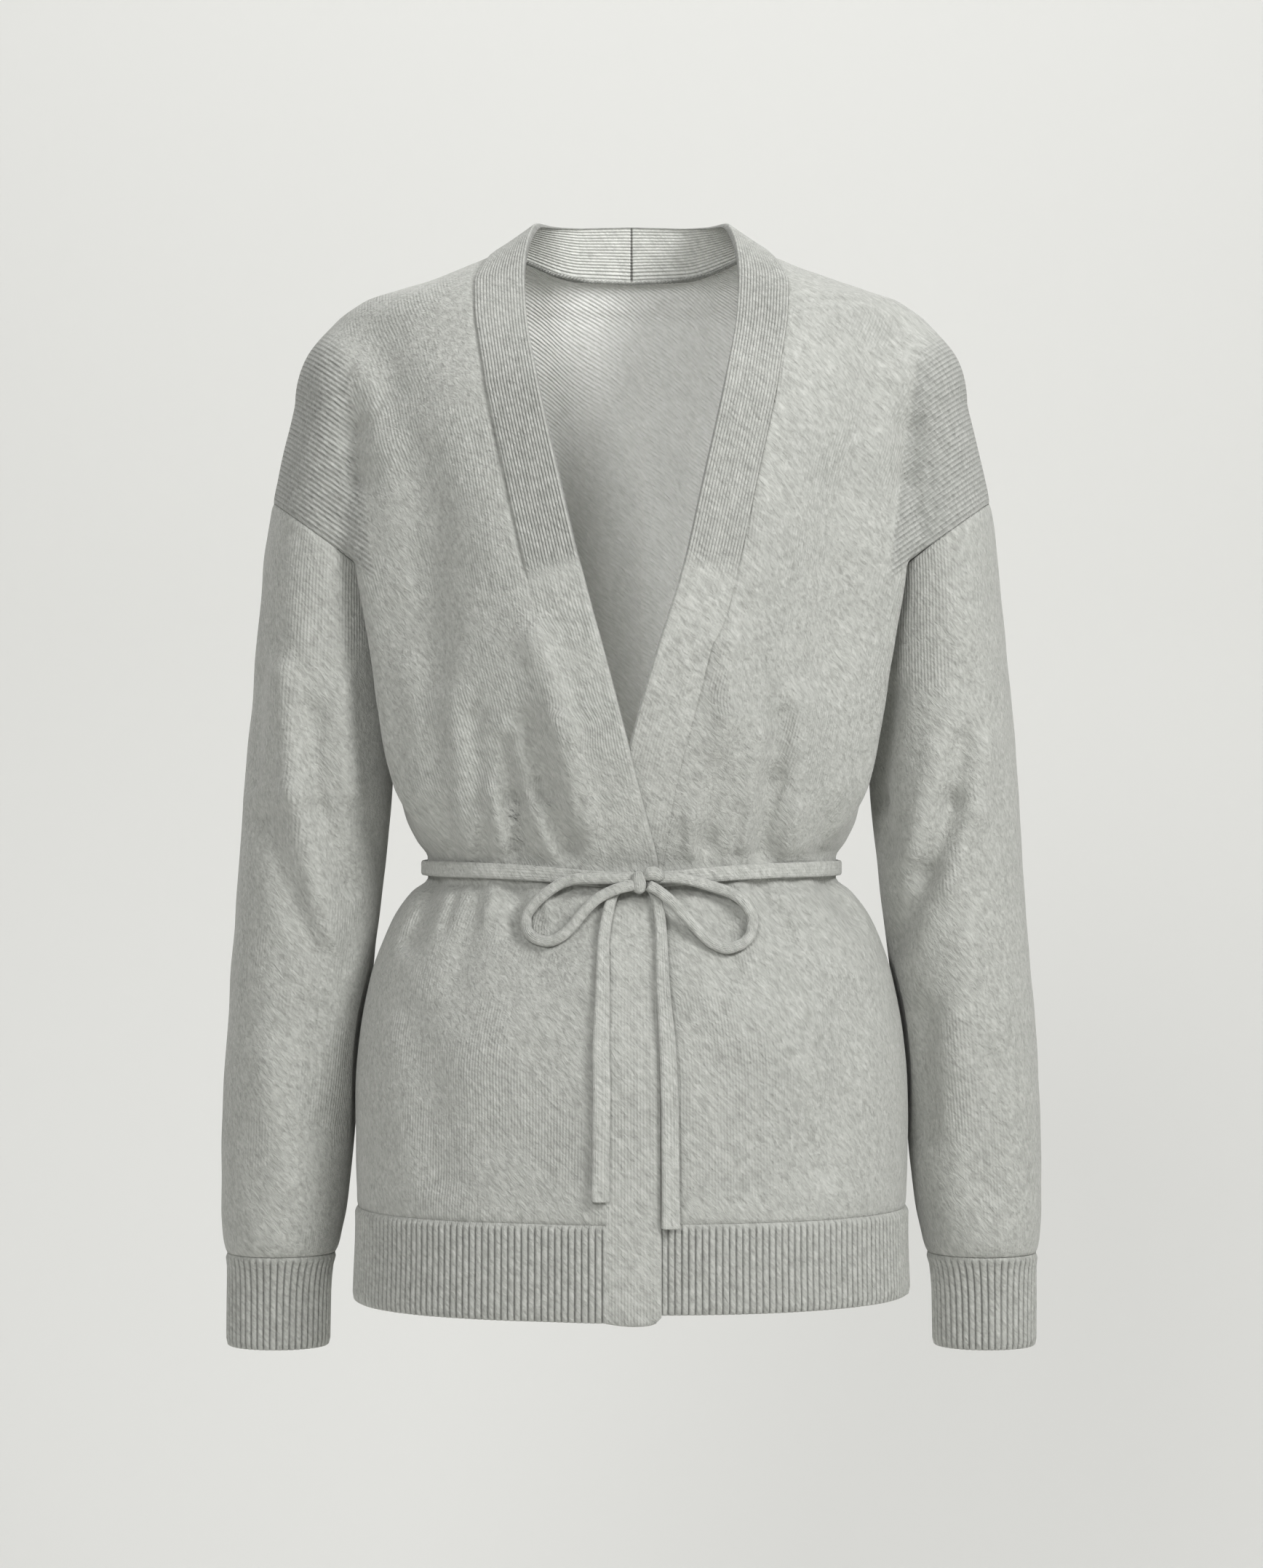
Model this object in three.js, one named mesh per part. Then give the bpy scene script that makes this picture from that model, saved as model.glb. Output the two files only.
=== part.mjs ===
// A knitted wrap cardigan, worn shape with no wearer, in millimetres, +Z up.
// The origin is the middle of the neck opening at the height of the highest
// points of the shoulders. +X is the wearer's left, and the front faces -Y.
// Every cloth piece is a thin wall: an outer face on a general body form,
// and an inner face one wall thickness inside it.
import * as THREE from 'three';

// Driving dimensions
const CLOTH_WALL = 2;
const RIB_WALL = 2.6;
const BAND_WALL = 3;
const BAND_PROUD = 0.8;
const SEAM_GAP = 0.36;
const RIB_PITCH = 4.05;
const RIB_HEIGHT = 1.3;
const BAND_RIBS = 17;
const BAND_RIB_HEIGHT = 0.6;
const BAND_RIBS_END = -215;
const HEM_SEAM = -589;
const HEM_RIGHT = -646;
const HEM_LEFT = -642;
const HEM_BACK = -645;
const HEM_CORNER = 7;
const CUFF_SEAM = -620.7;
const CUFF_END = -678;
const UNDERARM = -208;
const WRAP_LIFT = 4.4;
const SLEEVE_CLEARANCE = 2.5;
const BELT_HEIGHT = -381.5;
const BELT_WIDTH = 10;
const BELT_THICK = 3.6;
const BELT_CLEARANCE = 0.9;
const BELT_DIP = 5.5;
const LOOP_DIAMETER = 6;
const CLOTH_COLOUR = 0xcbc8c4;

// Section shape and blending of the body form
const SECTION_POWER = 2.3;
const SEAM_SLOPE = 0.7;
const SEAM_OUTER = [-222, -157];
const CAP_HEIGHT = -95;
const CAP_RISE = 49;
const BLOUSE_DEPTH = -57;
const BLOUSE_SPREAD = 17;

// Grid sizes
const FRONT_COLUMNS = 11;
const NECK_COLUMNS = 4;
const UPPER_ROWS = 9;
const SLEEVE_ROWS = [
  0, 0.03, 0.07, 0.12, 0.18, 0.24, 0.3, 0.36, 0.42, 0.48, 0.54, 0.61, 0.69, 0.78, 0.87, 0.95, 1,
];
const LOWER_ROWS = [
  HEM_SEAM, -560, -525, -490, -462, -440, -424, -410, -398,
  BELT_HEIGHT - 6, BELT_HEIGHT + 6, -364, -350, -333, -308, -278, -243, UNDERARM,
];

// How the form is blended: folds fade out towards the sides over this depth
const FOLDS_START = 12;
const FOLDS_SPAN = 25;
// Under the armhole's plane the sleeve form draws back, and the fillet narrows
const SLEEVE_RETREAT = 0.8;
const FILLET_BELOW = 5;
const FILLET_ABOVE = 25;
const FILLET_START = 14;
const FILLET_SPAN = 22;
// Reach of the belt's dip: sideways, in depth and in height, and the smooth pinch under it
const DIP_SPREAD = 55;
const DIP_DEPTH = 40;
const DIP_RISE = 60;
const PINCH_WIDTH = 9;
// Where the right front rises over the left one, and where it ends beside the belt
const WRAP_START = -60;
const WRAP_SPREAD = 42;
const WRAP_TOP = -262;
const WRAP_RISE = 50;
const WRAP_END = 18;
const WRAP_FADE = 30;
const WRAP_BELT_REACH = 70;
const BAND_REACH = 20;
const BAND_FADE = 15;
// Height where the side seam leaves the middle of the side, and where the band lies on the body
const SIDE_SEAM_TURN = -310;
const SIDE_SEAM_RISE = 100;
const BAND_LAID_FROM = -52;
const BAND_LAID_SPAN = 45;
const BAND_TURN = 10;
const HEM_ROW = -617;
// Lines of the band kept where it has no ribs, and on its inner face
const PLAIN_LINES = [0, 6, 12, 17, 22, 28, 34];
const INNER_LINES = [0, 9, 17, 25, 34];
// Fineness of the curves
const GRADIENT_STEP = 0.4;
const SECTION_STEPS = 240;
const RELAX_SHARE = 0.6;
const INNER_STRIDE = 6;
const CUFF_TURNS = 96;
const CUFF_RIBS = 46;
const BELT_SIDES = 6;
const BELT_ROUNDING = 0.7;
const LOOP_SIDES = 7;
const LOOP_STEPS = 26;
const TAIL_STEPS = 14;
const TAIL_SPREAD = 1.6;
const ROUTE_POINTS = 120;
const KNOT_TURNS = 12;
const KNOT_ROWS = 7;
const KNOT_POLE = 0.9;
const KNOT_CREASE = 0.12;
const KNOT_CREASE_AT = 0.1;
const KNOT_CREASE_WIDTH = 0.18;

// Torso: height, half width, front depth, back depth
const TORSO = [
  [10, 40, 30, 22], [4, 66, 42, 30], [0, 79, 50, 40], [-6.5, 93.6, 54, 53],
  [-13.8, 111.6, 60, 65], [-20.2, 129.6, 65, 69], [-26.2, 147.6, 70, 72],
  [-33, 165.6, 74, 76], [-45, 174, 81, 81], [-62, 172, 88, 87],
  [-90, 164, 101, 96], [-130, 155.5, 112, 101.5], [-180, 150, 120, 103],
  [-230, 147, 124, 103], [-300, 144.5, 116, 96], [-330, 143, 106, 90],
  [-350, 139, 98.5, 87], [-365, 132, 92, 83.5], [-375, 125.6, 88, 80.5],
  [-388, 125.6, 88, 80.5], [-396, 135, 92.5, 84], [-412, 147, 97, 88],
  [-430, 154.5, 103, 93], [-450, 161, 107, 100], [-485, 167.8, 113, 108],
  [-520, 170.4, 116, 113], [-560, 170.3, 118, 115.5], [-600, 169.3, 119, 117],
  [-650, 170.8, 119, 118],
];

// Sleeve: height, middle x, half width, middle y, half depth (wearer's right)
const SLEEVE = [
  [-95, -172, 36.4, 10, 60], [-142, -180, 39.6, 11, 62], [-171, -186, 39, 12, 62],
  [-200, -188.5, 39.5, 12, 62], [-244, -190, 42.6, 12, 60], [-342, -195, 46, 12, 55],
  [-378, -198, 45, 12, 53.5], [-414, -201, 44.5, 12, 52], [-430, -202.7, 44.3, 12, 51],
  [-520, -211, 42.5, 14, 48], [-592, -216, 39, 15, 44], [-610, -217.3, 36.8, 15, 42],
  [-620, -217.8, 34.6, 15, 38], [-628, -218.6, 32.2, 15, 32], [-646, -219.4, 31.4, 15, 28],
  [-680, -219.8, 31.2, 15, 27],
];

// Blousing of the fronts over the sleeves: height, extra half width
const BLOUSE = [
  [-90, 0], [-115, 10], [-140, 20], [-170, 28], [-197, 31],
  [-244, 25], [-296, 20], [-327, 17], [-350, 10], [-372, 0],
];

// Shoulder seam from the neck to the sleeve: x, height (wearer's right)
const SHOULDER = [
  [-79, 0], [-93.6, -6.5], [-111.6, -13.8], [-129.6, -20.2], [-147.6, -26.2],
  [-165.6, -33], [-183.6, -45], [-201.6, -74], [-210.6, -103], [-219.6, -142], SEAM_OUTER,
];

// Band from the centre back round the neck to the hem:
// seam x, y, height, then free edge x, y, height
const BAND_RIGHT = [
  [0, 68, -9, 0, 61, 22.6], [-35, 64, -7, -28, 57, 21.5], [-62, 42, -2, -48, 40, 20],
  [-79, 8, 0, -57.5, 10, 17.4], [-87.5, -22, -12, -63, -22, 2.6], [-94.6, -48, -28, -65, -44, -19],
  [-93, -64, -50, -63.8, -60, -42.4], [-85.5, -84, -92, -56.5, -84, -86],
  [-72, -105, -158.4, -42, -110, -152], [-57.3, -112, -220, -27.5, -118, -213],
  [-46.3, -112, -262, -16.3, -118, -254], [-35, -108, -305, -5, -112, -297],
  [-28, -100, -332, 1.5, -103, -324], [-21, -92, -359, 9, -94, -353],
  [-15.8, -88, -382, 15.2, -88, -380], [-14.8, -98, -410, 16.2, -98, -410],
  [-14.7, -118, HEM_SEAM, 17, -118, HEM_SEAM], [-14.7, -119, HEM_RIGHT, 17, -119, HEM_RIGHT],
];
const BAND_LEFT = [
  [0, 68, -9, 0, 61, 22.6], [35, 64, -7, 28, 57, 21.5], [62, 42, -2, 48, 40, 20],
  [79, 8, 0, 57.5, 10, 17.4], [87.5, -22, -12, 63, -22, 2.6], [94.6, -48, -28, 65, -44, -19],
  [93, -64, -50, 63.8, -60, -42.4], [85.5, -84, -92, 56.5, -84, -86],
  [72, -105, -158.4, 42, -110, -152], [59, -112, -216, 29, -118, -209],
  [47.5, -112, -253, 17.5, -118, -245], [38.7, -110, -281, 9, -114, -273],
  [30.8, -108, -310, 0.8, -112, -303], [24.5, -100, -338.7, -6, -103, -333],
  [20.5, -91, -365, -10.5, -91, -361], [17.6, -88, -386, -13.6, -88, -386],
  [15.6, -98, -415, -15, -98, -415], [15, -118, HEM_SEAM, -15, -118, HEM_SEAM],
  [15, -119, HEM_LEFT, -15, -119, HEM_LEFT],
];

// Folds of the body: x and height of one end, of the other end, width, height.
// A positive height is a ridge and a negative one a trough.
const FRONT_FOLDS = [
  [-57, -245, -42, -298, 10, 3.2], [-42, -298, -31, -350, 9, 3], [-63, -292, -51, -331, 8, -3.6],
  [-51, -331, -37, -366, 7, -3.4], [-76, -306, -70, -340, 6.5, -3.4], [-70, -340, -69, -371, 6, -3.6],
  [-86, -335, -78, -366, 8, 3], [-69, -390, -68, -416, 7, -2.8], [-107, -262, -99, -366, 12, 2.6],
  [-94, -290, -89, -366, 8, -2.4], [-118, -392, -133, -426, 7, -3.2], [-92, -392, -104, -450, 9, -1.8],
  [88, -292, 83, -327, 8, -3.4], [83, -327, 76, -370, 7, -4], [78, -300, 68, -366, 9, 3],
  [57, -250, 58, -290, 11, 2.6], [58, -290, 41, -348, 9, 2.4], [50, -318, 44, -366, 6, -2.6],
  [106, -280, 99, -368, 12, 2.8], [78, -392, 92, -420, 7, -2.8], [119, -392, 134, -412, 7, -3.2],
  [52, -394, 60, -445, 9, -1.8], [-112, -120, -80, -190, 22, 2], [112, -128, 84, -200, 22, 2],
];
const BACK_FOLDS = [
  [-96, -268, -84, -366, 10, 3], [-78, -300, -70, -368, 8, -3.4], [-52, -322, -47, -368, 8, 2.6],
  [-20, -300, -24, -368, 9, -2.8], [4, -330, 6, -368, 8, 2.4], [30, -310, 27, -368, 8, -3],
  [56, -288, 49, -368, 10, 3], [80, -312, 70, -368, 8, -3.2], [100, -270, 90, -366, 10, 2.8],
  [-108, -392, -122, -440, 9, -3], [-60, -392, -66, -450, 9, -2.4], [-18, -392, -16, -432, 9, -2],
  [36, -392, 42, -452, 9, -2.4], [84, -392, 96, -438, 9, -3], [-60, -120, -110, -176, 20, -2.4],
  [64, -112, 112, -170, 20, -2.4],
];
const SLEEVE_RIGHT_FOLDS = [
  [-211, -266, -184, -339, 10, 3.2], [-184, -339, -166, -388, 9, 3.2], [-194, -284, -176, -339, 8, -3.6],
  [-206, -370, -184, -406, 8, -3.4], [-182, -362, -163, -410, 8, 2.8], [-226, -320, -204, -356, 9, 2.2],
  [-219, -420, -200, -440, 10, -2], [-196, -470, -190, -540, 12, -2.2], [-222, -500, -214, -570, 12, 2],
];
const SLEEVE_LEFT_FOLDS = [
  [206, -296, 196, -348, 9, -4], [196, -348, 170, -402, 8, -4.2], [218, -300, 210, -350, 10, 3],
  [186, -330, 172, -378, 9, 2.8], [180, -396, 212, -360, 9, 2.4], [178, -470, 180, -545, 9, -3],
  [204, -430, 198, -500, 12, 2.2], [224, -500, 216, -575, 12, -2],
];
const SLEEVE_BACK_FOLDS = [
  [-214, -300, -186, -352, 10, 3], [-196, -318, -172, -372, 9, -3.4], [-218, -392, -188, -420, 9, -3],
  [-206, -470, -200, -560, 12, 2],
];

// Belt bow: x, height, distance of its middle out from what it lies on
const LOOP_RIGHT = [
  [-3, -386.3, 8.6], [-12, -386.3, 8.5], [-29, -386.1, 8.4], [-39.7, -388.2, 8.3], [-50.3, -394.6, 6.8],
  [-58.9, -402.7, 5], [-62.7, -409.5, 4.4], [-62.3, -415.7, 4.2], [-57.6, -421.2, 4.2], [-49.5, -423.2, 4.4],
  [-41.8, -420.2, 4.8], [-35.4, -414.3, 5.6], [-29, -406.5, 6.8], [-22.6, -399.8, 8.4], [-15.4, -395, 10.4],
  [-9, -392.8, 12], [-4, -391.8, 13],
];
const LOOP_LEFT = [
  [14.6, -386.2, 8.6], [23.5, -385.6, 8.5], [34.6, -387.2, 8.5], [48.2, -391, 8.2], [59.7, -395.1, 6.4],
  [67.8, -401.4, 4.8], [72.1, -410, 4.3], [71.2, -418.2, 4.2], [64.8, -425.3, 4.2], [56.7, -427.5, 4.4],
  [48.2, -424.5, 4.8], [38.4, -415.5, 5.8], [30.3, -406.5, 7.4], [22.6, -398.4, 9.8], [15.4, -392.8, 12.4],
];

// Belt free ends: x, height, distance of their middle out from what they lie on
const TAIL_RIGHT = [
  [-9.8, -393.6, 3.4], [-14.1, -407, 2.7], [-16.6, -424, 2.2], [-17.1, -455, 2.2], [-17.9, -485, 2.2],
  [-17.5, -510, 2.2], [-17.9, -536, 2.2], [-18.3, -574.6, 2.2],
];
const TAIL_LEFT = [
  [13.6, -393.6, 3.6], [17.1, -414, 2.7], [17.9, -433, 2.2], [18.3, -450.5, 2.2], [20.9, -483, 2.2],
  [22.2, -517, 2.2], [22.6, -553, 2.2], [23, -590.4, 2.2],
];
const TAIL_TOP = 5.6;
const TAIL_END = 10.5;
const TAIL_THICK = 3.4;
const BELT_STEPS = 60;

// Knot: x and height of its middle, and its half sizes
const KNOT = [5.8, -388.2];
const KNOT_HALF = [8, 5.2, 6.6];

// Vector helpers on plain [x, y, z] points
const clamp = (value, low, high) => Math.min(high, Math.max(low, value));
const smooth = (value) => clamp(value, 0, 1) ** 2 * (3 - 2 * clamp(value, 0, 1));
const mix = (from, to, share) => from + (to - from) * share;
const plus = (p, q, k = 1) => [p[0] + k * q[0], p[1] + k * q[1], p[2] + k * q[2]];
const minus = (p, q) => plus(p, q, -1);
const lerp = (p, q, share) => plus(p, minus(q, p), share);
const size = (p) => Math.hypot(p[0], p[1], p[2]);
const unit = (p) => plus([0, 0, 0], p, 1 / Math.max(size(p), 1e-9));
const cross = (p, q) => [p[1] * q[2] - p[2] * q[1], p[2] * q[0] - p[0] * q[2], p[0] * q[1] - p[1] * q[0]];
const bell = (distance, width) => Math.exp(-((distance / width) ** 2));

// A smooth curve through one column of a table, with no overshoot
function curve(rows, column) {
  const sorted = [...rows].sort((p, q) => p[0] - q[0]);
  const at = sorted.map((row) => row[0]);
  const value = sorted.map((row) => row[column]);
  const last = at.length - 1;
  const secant = (i) => (value[i + 1] - value[i]) / (at[i + 1] - at[i]);
  const slope = at.map((_, i) => {
    if (i === 0) return secant(0);
    if (i === last) return secant(last - 1);
    const before = secant(i - 1);
    const after = secant(i);
    return before * after <= 0 ? 0 : (2 * before * after) / (before + after);
  });
  return (where) => {
    const x = clamp(where, at[0], at[last]);
    let i = 0;
    while (i < last - 1 && x > at[i + 1]) i += 1;
    const step = at[i + 1] - at[i];
    const t = (x - at[i]) / step;
    const rise = (2 * t ** 3 - 3 * t ** 2 + 1) * value[i] + (3 * t ** 2 - 2 * t ** 3) * value[i + 1];
    return rise + step * ((t ** 3 - 2 * t ** 2 + t) * slope[i] + (t ** 3 - t ** 2) * slope[i + 1]);
  };
}

const halfWidth = curve(TORSO, 1);
const frontDepth = curve(TORSO, 2);
const backDepth = curve(TORSO, 3);
const middleDepth = curve([[-90, 0], [-50, 5], [-30, 8]], 1);
const blouse = curve(BLOUSE, 1);
const sleeveX = curve(SLEEVE, 1);
const sleeveWidth = curve(SLEEVE, 2);
const sleeveY = curve(SLEEVE, 3);
const sleeveDepth = curve(SLEEVE, 4);

// Height of the folds at a point seen from the front: each fold is a bell
// across the straight line between its two ends
function foldHeight(folds, x, z) {
  let height = 0;
  for (const [x0, z0, x1, z1, width, rise] of folds) {
    const along = [x1 - x0, z1 - z0];
    const square = along[0] ** 2 + along[1] ** 2;
    const share = clamp(((x - x0) * along[0] + (z - z0) * along[1]) / square, 0, 1);
    const away = Math.hypot(x - x0 - share * along[0], z - z0 - share * along[1]);
    height += rise * bell(away, width);
  }
  return height;
}

// How far the belt line and the pinch under it dip towards the knot
const beltDip = (x, y) => -BELT_DIP * bell(x, DIP_SPREAD) * smooth(-y / DIP_DEPTH);

// Distance of a point outside the torso form, negative inside
function torsoField(x, y, z) {
  const level = z - beltDip(x, y) * bell(z - BELT_HEIGHT, DIP_RISE);
  const middle = middleDepth(z);
  const front = y < middle;
  const depth = front ? frontDepth(level) : backDepth(level);
  const width = halfWidth(level) + (front ? blouse(z) * bell(y - BLOUSE_DEPTH, BLOUSE_SPREAD) : 0);
  const share = (Math.abs(x) / width) ** SECTION_POWER + (Math.abs(y - middle) / depth) ** SECTION_POWER;
  const radius = Math.hypot(x, y - middle);
  const clearOfBelt = 1 - bell(level - BELT_HEIGHT, PINCH_WIDTH);
  const away = Math.abs(y - middle);
  const clearOfSide = smooth((away - FOLDS_START) / FOLDS_SPAN);
  const folds = foldHeight(front ? FRONT_FOLDS : BACK_FOLDS, x, z) * clearOfSide;
  return radius * (1 - share ** (-1 / SECTION_POWER)) - folds * clearOfBelt;
}

// Distance of a point outside the sleeve form, negative inside
function sleeveField(x, y, z) {
  const across = (-Math.abs(x) - sleeveX(z)) / sleeveWidth(z);
  const deep = (y - sleeveY(z)) / sleeveDepth(z);
  const cap = Math.max(0, z - CAP_HEIGHT) / CAP_RISE;
  const share = Math.hypot(across, deep, cap);
  const radius = Math.hypot(-Math.abs(x) - sleeveX(z), y - sleeveY(z), Math.max(0, z - CAP_HEIGHT));
  return radius * (1 - 1 / Math.max(share, 1e-6));
}

// The plane of the armhole seam: height over it, the body side positive
const overArmhole = (x, z) => z - SEAM_OUTER[1] - SEAM_SLOPE * (Math.abs(x) + SEAM_OUTER[0]);

// Body form: torso and sleeve tops joined with a soft fillet
function bodyField(x, y, z) {
  const torso = torsoField(x, y, z);
  const sleeve = sleeveField(x, y, z) + SLEEVE_RETREAT * Math.max(0, -overArmhole(x, z));
  const fillet = mix(FILLET_BELOW, FILLET_ABOVE, smooth((overArmhole(x, z) + FILLET_START) / FILLET_SPAN));
  const near = Math.max(fillet - Math.abs(torso - sleeve), 0) / fillet;
  return Math.min(torso, sleeve) - (near * near * fillet) / 4;
}

// Lift of the right front where it wraps over the left one
const wrapLift = (x, z) => (
  WRAP_LIFT * smooth((x - WRAP_START) / WRAP_SPREAD) * smooth((WRAP_TOP - z) / WRAP_RISE)
);
const overField = (x, y, z) => bodyField(x, y, z) - (y < 0 ? wrapLift(x, z) : 0);

// Slope of a field at a point
function gradient(field, p) {
  const h = GRADIENT_STEP;
  return [0, 1, 2].map((axis) => {
    const high = [...p];
    const low = [...p];
    high[axis] += h;
    low[axis] -= h;
    return (field(...high) - field(...low)) / (2 * h);
  });
}

// Move a point on to the form; mask holds the axes that it may move along
function settle(field, point, mask = [1, 1, 1]) {
  let p = point;
  for (let round = 0; round < 5; round += 1) {
    const slope = gradient(field, p).map((value, axis) => value * mask[axis]);
    const steep = Math.max(slope[0] ** 2 + slope[1] ** 2 + slope[2] ** 2, 0.1);
    const step = plus([0, 0, 0], slope, -field(...p) / steep);
    p = plus(p, step, Math.min(1, 8 / Math.max(size(step), 1e-9)));
  }
  return p;
}

const LEVEL = [1, 1, 0];

// Points at equal distances along a polyline
function resample(line, count) {
  const reach = [0];
  for (let i = 1; i < line.length; i += 1) reach.push(reach[i - 1] + size(minus(line[i], line[i - 1])));
  const points = [];
  let i = 0;
  for (let k = 0; k <= count; k += 1) {
    const target = (reach[line.length - 1] * k) / count;
    while (i < line.length - 2 && reach[i + 1] < target) i += 1;
    points.push(lerp(line[i], line[i + 1], (target - reach[i]) / (reach[i + 1] - reach[i])));
  }
  return points;
}

// One side of a torso section, from the middle of the front round to the middle of the back
function halfSection(side, z) {
  const middle = middleDepth(z);
  const points = [];
  const steps = SECTION_STEPS;
  for (let i = 0; i <= steps; i += 1) {
    const angle = (Math.PI * i) / steps;
    const cosine = Math.cos(angle);
    const deep = Math.abs(cosine) ** (2 / SECTION_POWER);
    const y = cosine > 0 ? middle - frontDepth(z) * deep : middle + backDepth(z) * deep;
    const swell = cosine > 0 ? blouse(z) * bell(y - BLOUSE_DEPTH, BLOUSE_SPREAD) : 0;
    const x = (halfWidth(z) + swell) * Math.sin(angle) ** (2 / SECTION_POWER);
    points.push([side * x, y, z]);
  }
  return points;
}

// Depth of the side seam: it drifts back to meet the underarm
const sideSeamDepth = (z) => sleeveY(UNDERARM) * smooth((z - SIDE_SEAM_TURN) / SIDE_SEAM_RISE);

// Band stations by share of the seam's length
function stations(table) {
  const reach = [0];
  for (let i = 1; i < table.length; i += 1) {
    reach.push(reach[i - 1] + size(minus(table[i].slice(0, 3), table[i - 1].slice(0, 3))));
  }
  const rows = table.map((row, i) => [reach[i], ...row]);
  const columns = [1, 2, 3, 4, 5, 6].map((column) => curve(rows, column));
  return {
    length: reach[reach.length - 1],
    neck: reach[3],
    seam: (t) => columns.slice(0, 3).map((column) => column(t)),
    edge: (t) => columns.slice(3).map((column) => column(t)),
  };
}

const SIDES = {
  right: { sign: -1, field: overField, band: stations(BAND_RIGHT), hem: HEM_RIGHT },
  left: { sign: 1, field: bodyField, band: stations(BAND_LEFT), hem: HEM_LEFT },
};

// Station of the band whose seam is at a height, below the shoulder
function stationAt(side, z) {
  let low = side.band.neck + 40;
  let high = side.band.length;
  for (let i = 0; i < 50; i += 1) {
    const middle = (low + high) / 2;
    if (side.band.seam(middle)[2] > z) low = middle;
    else high = middle;
  }
  return (low + high) / 2;
}

// Height of a lower row at a point: rows dip with the belt line
const rowHeight = (z, x, y) => z + beltDip(x, y) * bell(z - BELT_HEIGHT, DIP_RISE);

// Stations that a front's rows and its band share, hem seam first
function frontStations(side) {
  const lower = LOWER_ROWS.map((z) => stationAt(side, rowHeight(z, 15, -90)));
  const start = lower[lower.length - 1];
  const upper = Array.from({ length: UPPER_ROWS }, (_, i) => (
    mix(start, side.band.neck, (i + 1) / UPPER_ROWS)
  ));
  return [...lower, ...upper];
}

// Band seam on the form; level rows keep their height
function seamPoint(side, t) {
  const p = side.band.seam(t);
  return settle(side.field, p, p[2] < UNDERARM + 5 ? LEVEL : [1, 1, 1]);
}

// Armhole seam: angle 0 is the underarm, 180 degrees the outer end of the shoulder seam.
// bend is -1 for the front half and +1 for the back half.
function sleevePoint(angle, bend, z) {
  const x = sleeveX(z) + sleeveWidth(z) * Math.cos(angle);
  return [x, sleeveY(z) + bend * sleeveDepth(z) * Math.sin(angle), z];
}

function armholePoint(sign, angle, bend) {
  let z = UNDERARM;
  for (let i = 0; i < 30; i += 1) {
    const x = sleevePoint(angle, bend, z)[0];
    z = SEAM_OUTER[1] - SEAM_SLOPE * (x - SEAM_OUTER[0]);
  }
  const p = settle(bodyField, sleevePoint(angle, bend, z));
  return [-sign * p[0], p[1], p[2]];
}

const armholeHalf = (sign, bend) => (
  Array.from({ length: UPPER_ROWS + 1 }, (_, i) => armholePoint(sign, (Math.PI * i) / UPPER_ROWS, bend))
);

// Half a seam gap across the armhole seam in the cloth, toward the body, at each point of a half
function armholeGaps(sign, bend) {
  const half = armholeHalf(sign, bend);
  const other = armholeHalf(sign, -bend);
  return half.map((p, i) => {
    const next = i < UPPER_ROWS ? half[i + 1] : other[i - 1];
    const before = i > 0 ? half[i - 1] : other[1];
    const across = unit(cross(minus(next, before), gradient(bodyField, p)));
    const toward = Math.sign(across[2] - SEAM_SLOPE * sign * across[0]);
    return plus([0, 0, 0], across, (toward * SEAM_GAP) / 2);
  });
}

// Shoulder seam from the neck to the armhole
function shoulderSeam(sign) {
  const outer = armholePoint(sign, Math.PI, -1);
  const dense = [];
  const rows = SHOULDER.map(([x, z], i) => [i, x, z]);
  const xs = curve(rows, 1);
  const zs = curve(rows, 2);
  for (let i = 0; i <= 100; i += 1) {
    const at = ((SHOULDER.length - 1) * i) / 100;
    const guess = [-sign * xs(at), mix(8, outer[1], i / 100), zs(at)];
    dense.push(settle(bodyField, guess, [1, 0, 1]));
  }
  dense[0] = seamPoint(sign < 0 ? SIDES.right : SIDES.left, SIDES.right.band.neck);
  dense[dense.length - 1] = outer;
  return resample(dense, FRONT_COLUMNS);
}

// Fill a block between four boundary lines, then let it relax on the form
function coons(bottom, top, left, right) {
  const rows = left.length - 1;
  const columns = bottom.length - 1;
  return left.map((_, r) => bottom.map((__, c) => {
    const u = c / columns;
    const v = r / rows;
    const ruled = plus(lerp(bottom[c], top[c], v), lerp(left[r], right[r], u));
    const low = lerp(bottom[0], bottom[columns], u);
    const high = lerp(top[0], top[columns], u);
    return minus(ruled, lerp(low, high, v));
  }));
}

function relax(grid, field, firstRow, rounds) {
  const rows = grid.length - 1;
  const columns = grid[0].length - 1;
  let current = grid;
  for (let round = 0; round < rounds; round += 1) {
    current = current.map((row, r) => row.map((p, c) => {
      if (r < firstRow || r === rows || c === 0 || c === columns) return p;
      const around = plus(
        plus(current[r - 1][c], current[r + 1][c]),
        plus(current[r][c - 1], current[r][c + 1]),
      );
      const middle = lerp(p, plus([0, 0, 0], around, 1 / 4), RELAX_SHARE);
      return settle(field, middle);
    }));
  }
  return current;
}

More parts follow.
